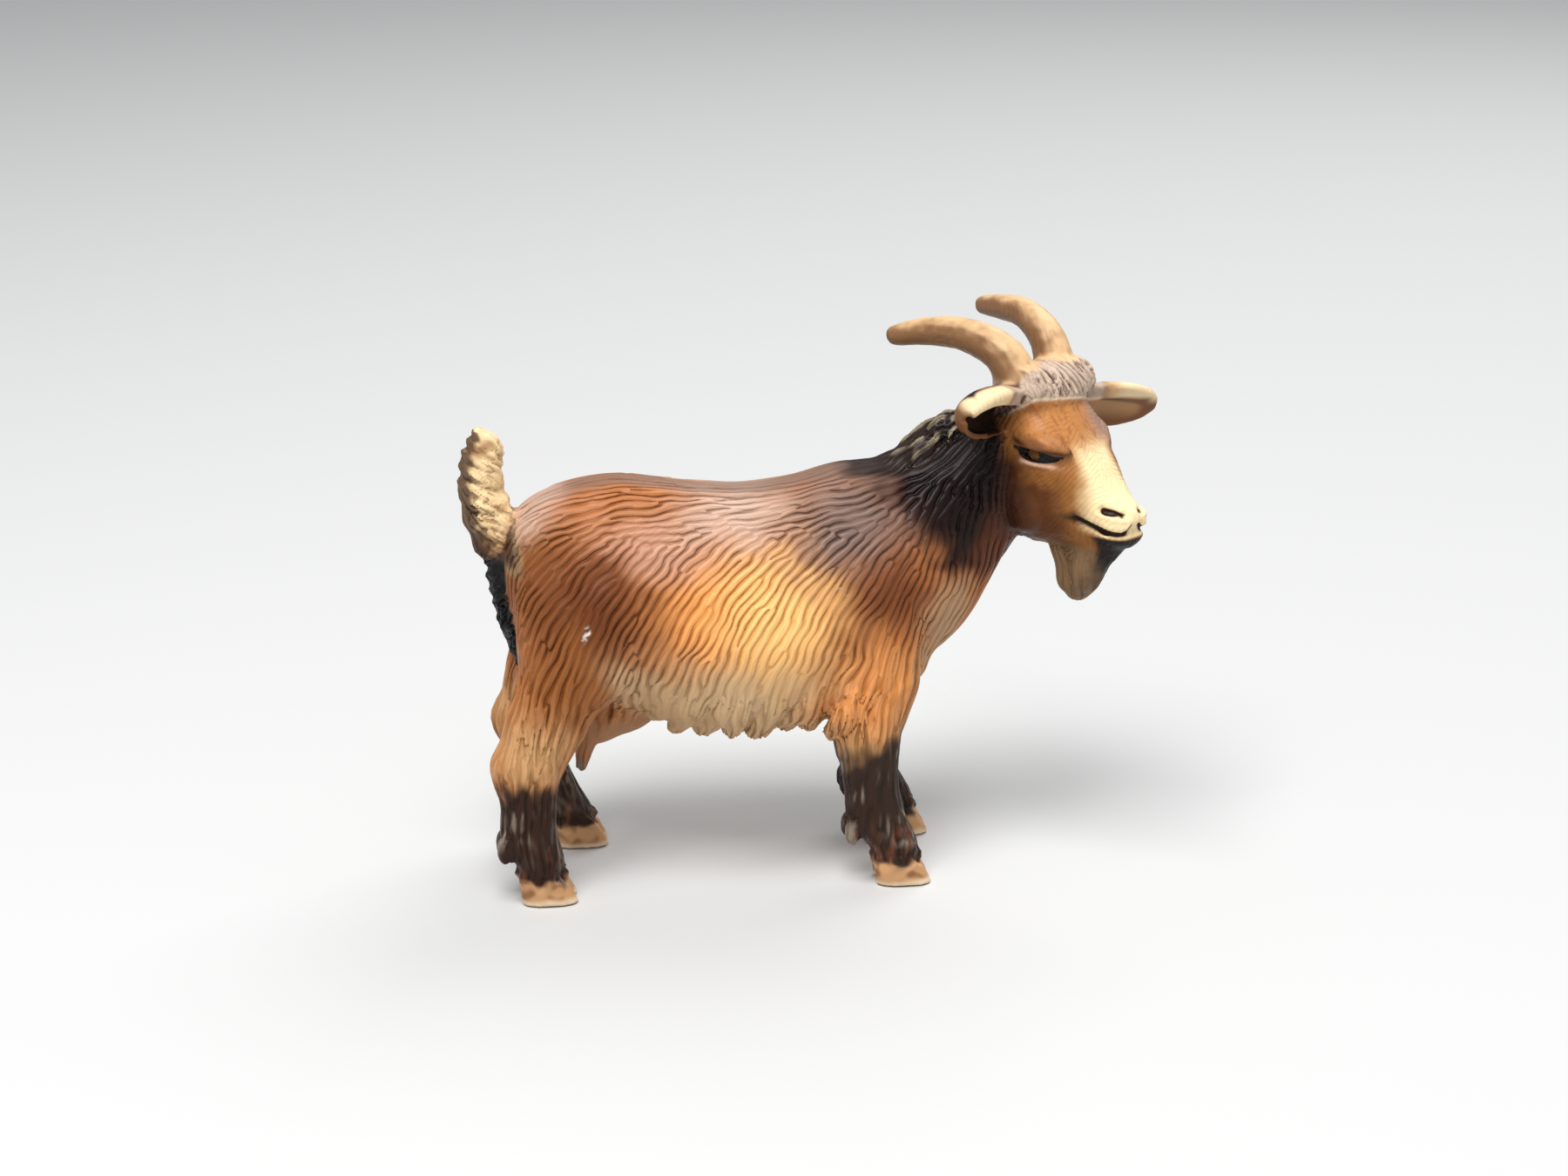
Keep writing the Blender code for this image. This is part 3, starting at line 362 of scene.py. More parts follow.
def mane_tufts(clay, skin):
    """Leaf-shaped tufts down the nape, swept back and overlapping."""
    along = unit(NECK_ROOT - NECK_TOP)
    for i in range(MANE_TUFTS):
        share = i / (MANE_TUFTS - 1)
        start = NECK_TOP + np.array((-0.8, 0.0, 6.0)) + along * share * 13.0
        for aside in (-2.2, -0.8, 0.8, 2.2):
            lean = np.array((0.0, aside + 0.35 * math.sin(2.2 * i + aside), 0.0))
            step = along * (0.6 * math.sin(1.7 * i + 2.1 * aside))
            path = [start + lean + step, start + lean * 1.15 + step + along * 1.3,
                    start + lean * 1.3 + step + along * 2.9]
            places, out = skin.lay(path, sink=0.05)
            places[1] += out * 0.30
            places[2] += out * 0.42
            clay.sweep(places, (0.42, 0.62, 0.16), out, flat=0.42)


def hem_locks(clay, skin):
    """Blunt clumps round the edge of the belly hair, which lean back and hang a little unevenly."""
    for side in (RIGHT, LEFT):
        for i in range(HEM_LOCKS):
            share = i / (HEM_LOCKS - 1)
            x = -15.5 + 20.0 * share + 0.5 * math.sin(2.9 * i)
            lean = -0.9 + 0.6 * math.sin(1.7 * i)
            drop = 0.45 * math.sin(2.3 * i + side) - 0.1
            path = [(x + 1.2, side * 11.5, 24.0), (x + 0.7, side * 9.5, 20.5),
                    (x + lean * 0.5, side * 6.8, 17.7 + drop)]
            places, out = skin.lay(path, sink=0.25)
            places[2] += np.array((lean, 0.0, 0.0))
            clay.sweep(places, (0.5, 1.45, 1.0), out, flat=0.75)


def breech_curls(clay, skin):
    """Small tight curls between the thighs, under the tail."""
    for i in range(BREECH_CURLS):
        share = i / (BREECH_CURLS - 1)
        ahead = RUMP_X - 1.0 + 4.6 * share ** 1.6
        point = (ahead, 1.3 * math.sin(2.1 * i), TAIL_ROOT_HEIGHT - 1.0 - share * 13.4)
        places, _ = skin.lay([point], sink=0.35)
        clay.bead(places[0], (0.72 + 0.12 * math.sin(3.1 * i), 0.85, 0.6), turn=0.7 * i)


def tail_path():
    """Middle line of the raised tail, from the rump to its curled tip, and its half depth."""
    # Each row: back from the rump, height and half depth
    shape = ((-0.2, 39.2, 2.9), (1.35, 42.3, 2.9), (2.15, 45.6, 2.6), (1.95, 48.9, 2.2), (1.25, 51.1, 1.7))
    rows = smooth_path([(RUMP_X - back, 0.0, height, half) for back, height, half in shape], 6)
    return rows[:, :3], rows[:, 3]


def tail_locks(clay):
    """Thick locks that slant across each side of the tail, one above the other."""
    middle, half = tail_path()
    for side in (RIGHT, LEFT):
        for i in range(TAIL_RIDGES):
            at = int(round(i / (TAIL_RIDGES - 1) * (len(middle) - 1)))
            centre, size = middle[at], half[at]
            reach = size * 0.98
            # Each row: ahead, aside and up from the tail's middle line
            shape = ((-reach, 0.2, 1.0), (-reach * 0.5, size * 0.68, 0.6), (reach * 0.35, size * 0.74, -0.5),
                     (reach * 0.95, size * 0.2, -1.7))
            path = [centre + np.array((ahead, side * aside, up)) for ahead, aside, up in shape]
            clay.sweep(path, (0.35, 0.62, 0.6, 0.3), (0.0, side, 0.0), flat=0.75)


def merged_copy(node):
    """Mesh of a CAD node with its doubled vertices merged."""
    made = bmesh.new()
    made.from_mesh(node.data)
    bmesh.ops.remove_doubles(made, verts=made.verts, dist=1e-6)
    mesh = bpy.data.meshes.new("plain_goat")
    made.to_mesh(mesh)
    made.free()
    return mesh


def shaped_clay():
    """Every form of the goat: the CAD skin, and the locks, lids, rims and curls over it."""
    mesh = merged_copy(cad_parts["goat"])
    skin = Surface(mesh)
    clay = Clay()
    clay.add(read_points(mesh), [list(p.vertices) for p in mesh.polygons])
    forelock(clay, skin)
    eyelids(clay, skin)
    muzzle_rolls(clay, skin)
    beard_locks(clay, skin)
    ear_rims(clay)
    mane_tufts(clay, skin)
    hem_locks(clay, skin)
    breech_curls(clay, skin)
    tail_locks(clay)
    return clay


def fused(clay, voxel):
    """One closed skin round all the forms."""
    mesh = bpy.data.meshes.new("clay")
    points = (np.vstack(clay.points) - FRAME_SHIFT) * MM
    mesh.from_pydata(points.tolist(), [], clay.faces)
    piece = bpy.data.objects.new("clay", mesh)
    bpy.context.scene.collection.objects.link(piece)
    remesh = piece.modifiers.new("fuse", "REMESH")
    remesh.mode = "VOXEL"
    remesh.voxel_size = voxel * MM
    remesh.adaptivity = 0.0
    shown = piece.evaluated_get(bpy.context.evaluated_depsgraph_get())
    skin = bpy.data.meshes.new_from_object(shown)
    bpy.data.objects.remove(piece)
    return skin


def cut_at_seam(mesh, seam, keep):
    """Keeps one side of a seam's plane with its overlap, and closes the cut."""
    place, direction = seam
    made = bmesh.new()
    made.from_mesh(mesh)
    whole = made.verts[:] + made.edges[:] + made.faces[:]
    cut = bmesh.ops.bisect_plane(made, geom=whole, clear_inner=True, dist=1e-7, plane_no=direction * keep,
                                 plane_co=(place - direction * keep * SEAM_OVERLAP - FRAME_SHIFT) * MM)
    rim = [e for e in cut["geom_cut"] if isinstance(e, bmesh.types.BMEdge)]
    bmesh.ops.holes_fill(made, edges=rim, sides=0)
    bmesh.ops.triangulate(made, faces=[f for f in made.faces if len(f.verts) > 4])
    made.to_mesh(mesh)
    made.free()


def seam_tuck(points, cuts):
    """How far the skin sinks beyond its seams, so that the neighbouring piece covers it there."""
    tuck = np.zeros(len(points))
    for (place, direction), keep in cuts:
        tuck = np.maximum(tuck, ramp(keep * ((points - place) @ direction), 0.15, -SEAM_OVERLAP))
    return SEAM_TUCK * tuck


def read_points(mesh):
    """Vertex places in the animal's frame."""
    flat = np.empty(len(mesh.vertices) * 3)
    mesh.vertices.foreach_get("co", flat)
    return flat.reshape(-1, 3) / MM + FRAME_SHIFT


def write_points(mesh, points):
    """Puts vertex places back into the mesh."""
    mesh.vertices.foreach_set("co", ((points - FRAME_SHIFT) * MM).ravel())
    mesh.update()


def read_normals(mesh):
    """Vertex normals."""
    flat = np.empty(len(mesh.vertices) * 3)
    mesh.vertex_normals.foreach_get("vector", flat)
    return flat.reshape(-1, 3)


def softened(mesh, points, passes, share=1.0):
    """Places after every vertex has moved that share of the way to its neighbours' mean, pass after pass."""
    flat = np.empty(len(mesh.edges) * 2, dtype=np.int32)
    mesh.edges.foreach_get("vertices", flat)
    a, b = flat.reshape(-1, 2).T
    size = len(points)
    count = np.bincount(flat, minlength=size)[:, None]
    for _ in range(passes):
        total = np.column_stack([np.bincount(a, points[b, k], size) + np.bincount(b, points[a, k], size)
                                 for k in range(3)])
        points = points + share * (total / count - points)
    return points


# Regions, each from 0 to 1

def height_share(points):
    """0 at the belly's edge and 1 at the croup."""
    return (points[:, 2] - BELLY_HEIGHT) / (CROUP_HEIGHT - BELLY_HEIGHT)


def head_region(points):
    """The head, its beard and its horns, without the neck."""
    forward, _, up = head_places(points)
    face = ramp(forward, -0.6, 1.4) * ramp(up, -27.0, -26.0)
    top = ramp(up, -4.6, -3.0) * ramp(forward, -17.0, -16.0)
    return np.maximum(face, top * ramp(points[:, 0], 16.0, 18.0))


def horn_region(points):
    """Both horns."""
    worn = np.zeros(len(points))
    for side in (RIGHT, LEFT):
        away, share = distance_to_path(points, horn_path(side))
        worn = np.maximum(worn, ramp(away - HORN_THICKNESS * (0.60 - 0.22 * share), 0.6, 0.0))
    return worn


def round_ear(away, outward, covered=0.0):
    """1 round one ear's middle line, from just outside the skull; away is measured from the ear's root."""
    along = away @ outward
    beside = np.linalg.norm(away - along[:, None] * outward, axis=1)
    return ramp(along - covered, 1.2, 2.2) * ramp(beside, 5.6, 4.8)


def ear_region(points):
    """Both ears from just outside the skull to the tip."""
    worn = np.zeros(len(points))
    for side in (RIGHT, LEFT):
        root, outward, _, _ = ear_axes(side)
        worn = np.maximum(worn, round_ear(points - root, outward))
    return worn


def tail_region(points):
    """The raised tail."""
    return ramp(points[:, 0], RUMP_X + 2.2, RUMP_X + 0.6) * ramp(points[:, 2], 36.6, 38.6)


def lower_leg_region(points):
    """Everything below the belly's edge that isn't udder or belly hair."""
    slope = 0.4 * (points[:, 0] - 9.5)
    limit = np.where(points[:, 0] > HIND_LEG_X + 8, FORE_PAINT_HEIGHT + slope, HIND_PAINT_HEIGHT)
    ragged = 1.6 * solid_noise(points * (1, 1, 0.35), 1.3) + 1.0 * solid_noise(points, 2.6)
    return ramp(points[:, 2] - ragged, limit + 1.4, limit - 1.4)


def hoof_region(points):
    """The horny hooves."""
    return ramp(points[:, 2] + 0.9 * solid_noise(points, 1.4), HOOF_TOP + 0.5, HOOF_TOP - 0.3)


def coronet(points):
    """Rough swollen band over each hoof, from -1 to 1."""
    return band(points[:, 2], HOOF_TOP + 0.5, 1.1) * np.clip(1.8 * solid_noise(points, 1.1), -1, 1)


def udder_region(points):
    """Udder and teats between the thighs."""
    away = (points - (-20.0, 0.0, 18.5)) / (7.5, 4.2, 6.5)
    return ramp(np.linalg.norm(away, axis=1), 1.1, 0.9) * ramp(points[:, 2], 25.0, 23.0)


def over_parting(points):
    """Height over the mould's parting line across the brow, in two planes that meet near the right ear."""
    forward, left, up = head_places(points)
    return np.maximum(0.951 * up - 0.297 * forward + 0.139 * left + 3.79,
                      0.951 * up - 0.522 * forward - 0.086 * left + 3.63)


# Coat

def hair_lie(points):
    """Direction in which the hair lies: back along the spine, falling through 45 degrees on the flank to
    straight down on the belly and the legs, along the crest of the neck and down its throat, down over the
    face and beard."""
    share = np.clip(height_share(points), 0, 1)
    fall = np.radians(88 - 58 * share ** 1.1 - 26 * ramp(share, 0.72, 0.95))
    lie = np.column_stack((-np.cos(fall), np.zeros(len(points)), -np.sin(fall)))

    axis = unit(NECK_TOP - NECK_ROOT)
    along = (points - NECK_ROOT) @ axis
    above = (points - NECK_ROOT) @ np.array((-axis[2], 0.0, axis[0]))
    neck = ramp(along, 3.0, 12.0) * ramp(points[:, 2], 30.0, 37.0)
    crest = ramp(above, -5.0, 6.0)[:, None]
    down_neck = unit(crest * -axis + (1 - crest) * np.array((-0.10, 0.0, -1.0)))
    lie = unit(lie * (1 - neck[:, None]) + down_neck * neck[:, None])

    up = head_places(points)[2]
    head = head_region(points)[:, None]
    brow = ramp(up, -5.5, -2.5)[:, None]
    beard = ramp(up, -17.0, -18.5)[:, None]
    cheek = unit(-0.75 * HEAD_AHEAD + np.array((0.0, 0.0, -0.65)))
    fringe = unit(0.35 * HEAD_AHEAD + 0.25 * HEAD_ASIDE + np.array((0.0, 0.0, -0.9)))
    down_face = unit(brow * fringe + (1 - brow) * cheek)
    down_face = unit(down_face * (1 - beard) + beard * np.array((0.0, 0.0, -1.0)))
    lie = unit(lie * (1 - head) + down_face * head)

    tail = tail_region(points)[:, None]
    lie = unit(lie * (1 - tail) + tail * np.array((0.72, 0.0, -0.69)))
    return lie


def hair_pitch(points):
    """Width of one lock of hair: widest on the belly and tail, finest on the face."""
    up = head_places(points)[2]
    head = head_region(points)
    width = 0.95 + 0.45 * ramp(height_share(points), 0.45, 0.1)
    width = width * (1 - 0.25 * lower_leg_region(points))
    face = 0.50 + 0.35 * ramp(up, -4.5, -3.0) + 0.9 * ramp(up, -17.5, -19.0)
    width = width * (1 - head) + face * head
    return width + 0.4 * tail_region(points)


def combed(points, normals, width, cell, seed):
    """Hair lines as phasor noise. At every lattice place stands a wave of random phase that runs across the
    hair there. The waves near a point are added as unit arrows, each with weight (1 - r^2 / R^2)^2, and the
    cosine and sine of the sum's direction are the phase of the lines: even in width, along the hair, with
    forks and ends. Width is a share of one lock's."""
    count = np.ceil((COMB_HIGH - COMB_LOW) / cell).astype(int)
    grid = np.stack(np.meshgrid(*[np.arange(n) for n in count], indexing="ij"), axis=-1).reshape(-1, 3)
    random = np.random.default_rng(seed)
    centre = COMB_LOW + (grid + 0.5 + random.uniform(-0.25, 0.25, grid.shape)) * cell
    start = random.uniform(0, 2 * math.pi, len(grid))
    lie, rate = hair_lie(centre), 2 * math.pi / (width * hair_pitch(centre))
    beside = unit(np.cross(normals, hair_lie(points)))
    sway = 0.35 * solid_noise(points, 3.6) + 0.10 * solid_noise(points + 40.0, 1.6)
    place = points + beside * sway[:, None]
    home = np.floor((place - COMB_LOW) / cell).astype(int)
    cosine, sine = np.zeros(len(points)), np.zeros(len(points))
    for step in itertools.product((-1, 0, 1), repeat=3):
        near = np.clip(home + step, 0, count - 1)
        index = (near[:, 0] * count[1] + near[:, 1]) * count[2] + near[:, 2]
        away = place - centre[index]
        weight = np.maximum(1 - np.einsum("ij,ij->i", away, away) / (1.25 * cell) ** 2, 0) ** 2
        across = unit(np.cross(normals, lie[index]))
        turn = rate[index] * np.einsum("ij,ij->i", away, across) + start[index]
        cosine += weight * np.cos(turn)
        sine += weight * np.sin(turn)
    size = np.maximum(np.hypot(cosine, sine), 1e-6)
    return cosine / size, sine / size


def coat_depth(points):
    """How deep the coat is carved, from 0 on hoof and horn to 1 on the flanks."""
    x, y, z = points.T
    spine = ramp(np.abs(y), 3.4, 1.6) * ramp(z, 43.5, 45.0) * ramp(x, 14.0, 10.0)
    up = head_places(points)[2]
    head = head_region(points)
    fringe = ramp(over_parting(points), 0.0, 0.4) * head
    beard = ramp(up, -17.8, -19.0) * head
    depth = 1 - 0.35 * spine
    depth = depth * (1 - 0.75 * puff(points, -13.5, 21.5, 4.5, 4.0))
    depth = depth * (1 - 0.55 * puff(points, -2.5, 25.5, 6.5, 5.0))
    depth = depth * (1 - head) + head * np.maximum(0.14, np.maximum(0.95 * fringe, 0.45 * beard))
    depth = depth * (1 - 0.9 * horn_region(points)) * (1 - 0.85 * ear_region(points))
    depth = depth * (1 - 0.45 * lower_leg_region(points)) * (1 - 0.96 * hoof_region(points))
    return depth * (1 - 0.85 * udder_region(points))


def smoothing_share(points):
    """Where the plain skin is made even before it is carved: the flanks, shoulders and thighs."""
    side = ramp(points[:, 2], 23.0, 26.0) * ramp(points[:, 0], RUMP_X + 1.5, RUMP_X + 4.0)
    nape = ramp((points - NECK_ROOT) @ unit(NECK_TOP - NECK_ROOT), 9.0, 6.0)
    return 0.6 * side * np.maximum(nape, ramp(points[:, 2], 50.0, 46.0)) * (1 - head_region(points))


# Paint

CHESTNUT = (0.40, 0.135, 0.034)
SPINE_BROWN = (0.19, 0.115, 0.082)
THIGH_BROWN = (0.12, 0.027, 0.0045)
THIGH_ORANGE = (0.24, 0.075, 0.012)
UMBER = (0.20, 0.064, 0.016)
# Plum and silver of the back's top: paint with the painted sheen of light from above in it
PLUM_BROWN_SHEEN = (0.50, 0.245, 0.15)
SADDLE_SILVER_SHEEN = (0.55, 0.37, 0.28)
SHOULDER_GREY = (0.19, 0.12, 0.095)
ORANGE_GOLD = (0.86, 0.34, 0.085)
FLANK_GOLD = (0.95, 0.52, 0.175)
BELLY_CREAM = (0.60, 0.40, 0.215)
BELLY_SHADE = (0.40, 0.225, 0.10)
# Black of the mane, and of the neck behind the jaw, where it is also painted shade
NECK_BLACK_AND_SHADE = (0.006, 0.0012, 0.0008)
NECK_RUST = (0.05, 0.011, 0.0035)
NECK_UMBER = (0.095, 0.05, 0.037)
CHEST_RUST = (0.15, 0.037, 0.007)
BREAST_TAN = (0.42, 0.26, 0.14)
LEG_ORANGE = (0.66, 0.24, 0.055)
LEG_BLACK = (0.017, 0.0055, 0.003)
# Whitish dry brushing of the legs, which also stands for painted highlight on their upward faces
LEG_FROST_AND_HIGHLIGHT = (0.50, 0.40, 0.30)
FETLOCK_RUST = (0.14, 0.04, 0.014)
HOOF_PEACH = (0.55, 0.30, 0.14)
HOOF_CREAM = (0.80, 0.62, 0.42)
HOCK_GOLD = (0.54, 0.30, 0.125)
TAIL_GOLD = (0.82, 0.58, 0.31)
TAIL_BROWN = (0.27, 0.115, 0.04)
TAIL_SHADE = (0.05, 0.018, 0.008)
CURL_BLACK = (0.006, 0.005, 0.006)
UDDER_TAN = (0.36, 0.17, 0.075)
FACE_GOLD = (0.30, 0.115, 0.024)
FACE_CREAM = (0.92, 0.71, 0.40)
# Brown of the cheeks' mottling, also painted shade on the lower cheeks and round the eyes
CHEEK_BROWN_AND_SHADE = (0.095, 0.025, 0.004)
BROW_CHESTNUT = (0.50, 0.205, 0.062)
BROW_SHADE = (0.27, 0.095, 0.028)
TEMPLE_GREY = (0.33, 0.21, 0.16)
# Painted shade on the jaw
JAW_SHADE_BROWN = (0.035, 0.009, 0.003)
FRINGE_GREY = (0.50, 0.37, 0.28)
FRINGE_SHADE = (0.14, 0.075, 0.05)
LINE_CREAM = (0.82, 0.64, 0.46)
MANE_TAN = (0.33, 0.26, 0.165)
BEARD_TAUPE = (0.20, 0.115, 0.055)
CHIN_BLACK = (0.010, 0.006, 0.005)
LIP_DARK = (0.030, 0.011, 0.006)
LID_PINK = (0.66, 0.40, 0.28)
IRIS_BROWN = (0.13, 0.05, 0.012)
EYE_BLACK = (0.003, 0.002, 0.002)
HORN_TAN = (0.72, 0.46, 0.24)
# Dark of the horns' mottling and tips, and also painted shade on their lower faces
HORN_DARK_AND_SHADE = (0.17, 0.075, 0.028)
EAR_CREAM = (0.84, 0.64, 0.38)
EAR_BROWN = (0.19, 0.075, 0.028)
EAR_GOLD = (0.42, 0.22, 0.09)
# Black in the ears' hollows, which also stands for painted shade there
EAR_BLACK_AND_SHADE = (0.004, 0.0015, 0.001)
SCUFF_WHITE = (0.86, 0.82, 0.76)


def paint(base, colour, weight):
    """Lays a colour, or one for every vertex, over the base by weight."""
    return base + (np.array(colour) - base) * np.clip(weight, 0, 1)[:, None]


# Turns and stretches space so that noise in it becomes fine slanting streaks on the brow
STREAK = np.stack((HEAD_AHEAD * 0.3 + (0, 0, -0.25), HEAD_ASIDE, HEAD_AHEAD * 0.8 + (0, 0, 0.9)), axis=1)


def puff(points, x, z, wide, high, lean=0.0):
    """Airbrushed patch seen from the side: exp(-d^2) of the distance in a leaning ellipse."""
    c, s = math.cos(math.radians(lean)), math.sin(math.radians(lean))
    dx, dz = points[:, 0] - x, points[:, 2] - z
    return np.exp(-(((dx * c + dz * s) / wide) ** 2 + ((dz * c - dx * s) / high) ** 2) ** 1.3)


# Each scuff: its two ends, where the plastic shows through the paint
SCUFFS = (((-22.0, -11.5, 34.2), (-23.0, -11.5, 31.6)), ((5.0, -11.0, 36.2), (5.5, -11.0, 35.6)))
# Airbrushed patches, two of them with painted sheen, in the order they are laid: colour, strength, middle x
# and z, reach along and up, lean
PATCHES = (
    (BELLY_CREAM, 0.95, -5.0, 24.4, 11.0, 5.8, 0),
    (ORANGE_GOLD, 1.05, -7.5, 34.5, 8.5, 5.5, 10),
    (FLANK_GOLD, 1.05, -1.5, 33.0, 6.5, 7.0, 20),
    (UMBER, 0.85, -28.0, 37.0, 5.5, 6.5, 10),
    (THIGH_BROWN, 0.95, -21.5, 34.0, 7.0, 7.0, 30),
    (THIGH_ORANGE, 0.9, -24.5, 26.0, 5.5, 5.5, 20),
    # Plum and silver saddle: paint with painted sheen on the lit top of the back
    (PLUM_BROWN_SHEEN, 0.85, -15.0, 40.6, 6.0, 2.8, -12),
    (SADDLE_SILVER_SHEEN, 0.9, -6.0, 43.5, 7.0, 3.4, 5),
    (SHOULDER_GREY, 0.98, 6.5, 42.5, 7.5, 6.0, 5),
    (CHEST_RUST, 0.95, 11.0, 34.0, 5.0, 5.5, -30),
    (LEG_ORANGE, 0.9, 8.5, 23.5, 7.0, 6.0, 0),
    (BREAST_TAN, 0.9, 17.5, 29.5, 2.6, 6.5, -10),
    (HOCK_GOLD, 0.9, -29.0, 18.0, 5.0, 4.5, 0),
    (BELLY_CREAM, 0.65, -17.8, 25.6, 3.0, 4.0, 30),
)


def body_paint(points, normals, proud):
    """Airbrushed colours of the trunk, neck, legs and tail, with painted shade under the belly and behind the
    jaw, painted sheen on the top of the back and painted highlights on the legs.
    """
    x, y, z = points.T
    mist = 1.2 * solid_noise(points, 4.2) + 0.6 * solid_noise(points, 1.7)
    soft = points + mist[:, None] * (1.0, 0.0, 1.0)
    colour = np.tile(CHESTNUT, (len(points), 1))
    # Painted shade: the belly darker towards its underside
    colour = paint(colour, BELLY_SHADE, ramp(soft[:, 2], 30.0, 23.0) * ramp(x, -20.0, -14.0))
    for tint, strength, *patch in PATCHES:
        colour = paint(colour, tint, strength * puff(soft, *patch))
    axis = unit(NECK_TOP - NECK_ROOT)
    along = (soft - NECK_ROOT) @ axis
    neck = ramp(z, 32.0, 37.0) * ramp(along, 5.0, 10.0)
    colour = paint(colour, NECK_UMBER, 0.9 * neck * ramp(z, 38.0, 43.0))
    neck = ramp(z, 32.0, 37.0) * ramp(along, 8.0, 12.5)
    colour = paint(colour, NECK_RUST, 0.97 * neck)
    above = (soft - NECK_ROOT) @ np.array((-axis[2], 0.0, axis[0]))
    # Black behind the jaw: black paint and painted shade under the head
    colour = paint(colour, NECK_BLACK_AND_SHADE, 0.97 * neck * ramp(above, -8.5, -4.5))
    colour = paint(colour, CHEST_RUST, 0.6 * puff(soft, 23.5, 39.0, 2.6, 3.4))
    stripe = ramp(np.abs(y) + 0.4 * mist, 3.6, 1.2) * ramp(z, 42.5, 45.0) * ramp(x, 20.0, 14.0)
    colour = paint(colour, SPINE_BROWN, 0.75 * stripe)
    mane = ramp(np.abs(y - 0.5), 4.2, 3.0) * ramp(above, 2.0, 4.0) * ramp(along, 4.0, 8.0)
    colour = paint(colour, NECK_BLACK_AND_SHADE, 0.9 * mane)
    colour = paint(colour, MANE_TAN, 0.75 * mane * ramp(proud, 0.02, 0.11))
    colour = paint(colour, UDDER_TAN, udder_region(points))
    legs = lower_leg_region(points)
    colour = paint(colour, LEG_BLACK, 0.97 * legs)
    worn = ramp(solid_noise(points * (1, 1, 0.4), 1.1), 0.05, 0.6)
    # Whitish on the legs: dry brushing, and painted highlight on the faces turned upward
    frost_and_highlight = legs * ramp(solid_noise(points * (1, 1, 0.16), 0.55) + 0.35 * normals[:, 2], 0.25, 0.75)
    colour = paint(colour, FETLOCK_RUST, 0.75 * legs * ramp(z, 9.0, 6.0) * worn)
    frost_and_highlight = np.maximum(frost_and_highlight, legs * ramp(proud, 0.02, 0.09))
    colour = paint(colour, LEG_FROST_AND_HIGHLIGHT, 0.5 * frost_and_highlight * ramp(solid_noise(points, 3.0), -0.4, 0.5))
    hoof = hoof_region(points)
    colour = paint(colour, HOOF_PEACH, hoof)
    mottle = solid_noise(points, 1.3) - 0.45 * normals[:, 0]
    colour = paint(colour, FETLOCK_RUST, 0.7 * hoof * ramp(mottle, 0.0, 0.6) * ramp(z, 0.5, 1.6))
    colour = paint(colour, HOOF_CREAM, hoof * ramp(z + 0.3 * mist, 1.4, 0.7))
    tail = tail_region(points)
    colour = paint(colour, TAIL_GOLD, tail)
    colour = paint(colour, TAIL_BROWN, 0.85 * tail * ramp(z + mist, 43.0, 38.5))
    colour = paint(colour, TAIL_BROWN, 0.8 * tail * ramp(proud, -0.01, -0.12))
    colour = paint(colour, TAIL_SHADE, 0.9 * tail * ramp(normals[:, 0], -0.12, -0.55))
    colour = paint(colour, TAIL_BROWN, 0.8 * tail * puff(points, RUMP_X - 1.9, 50.6, 1.4, 0.7, 30))
    breech = ramp(np.abs(y), 3.3, 2.4) * ramp(x, RUMP_X + 6.5, RUMP_X + 3.5)
    colour = paint(colour, CURL_BLACK, breech * ramp(z, 39.5, 37.5) * ramp(z, 23.0, 26.0))
    # Silver on the top of the croup: paint with painted sheen
    colour = paint(colour, SADDLE_SILVER_SHEEN, 0.8 * puff(soft, -28.3, 43.6, 4.4, 1.8, 40) * (1 - tail))
    chipped = 0.6 * solid_noise(points, 0.5)
    for ends in SCUFFS:
        away, _ = distance_to_path(points, np.array(ends))
        colour = paint(colour, SCUFF_WHITE, 0.8 * ramp(away + chipped, 0.55, 0.3) * (y < 0))
    return colour


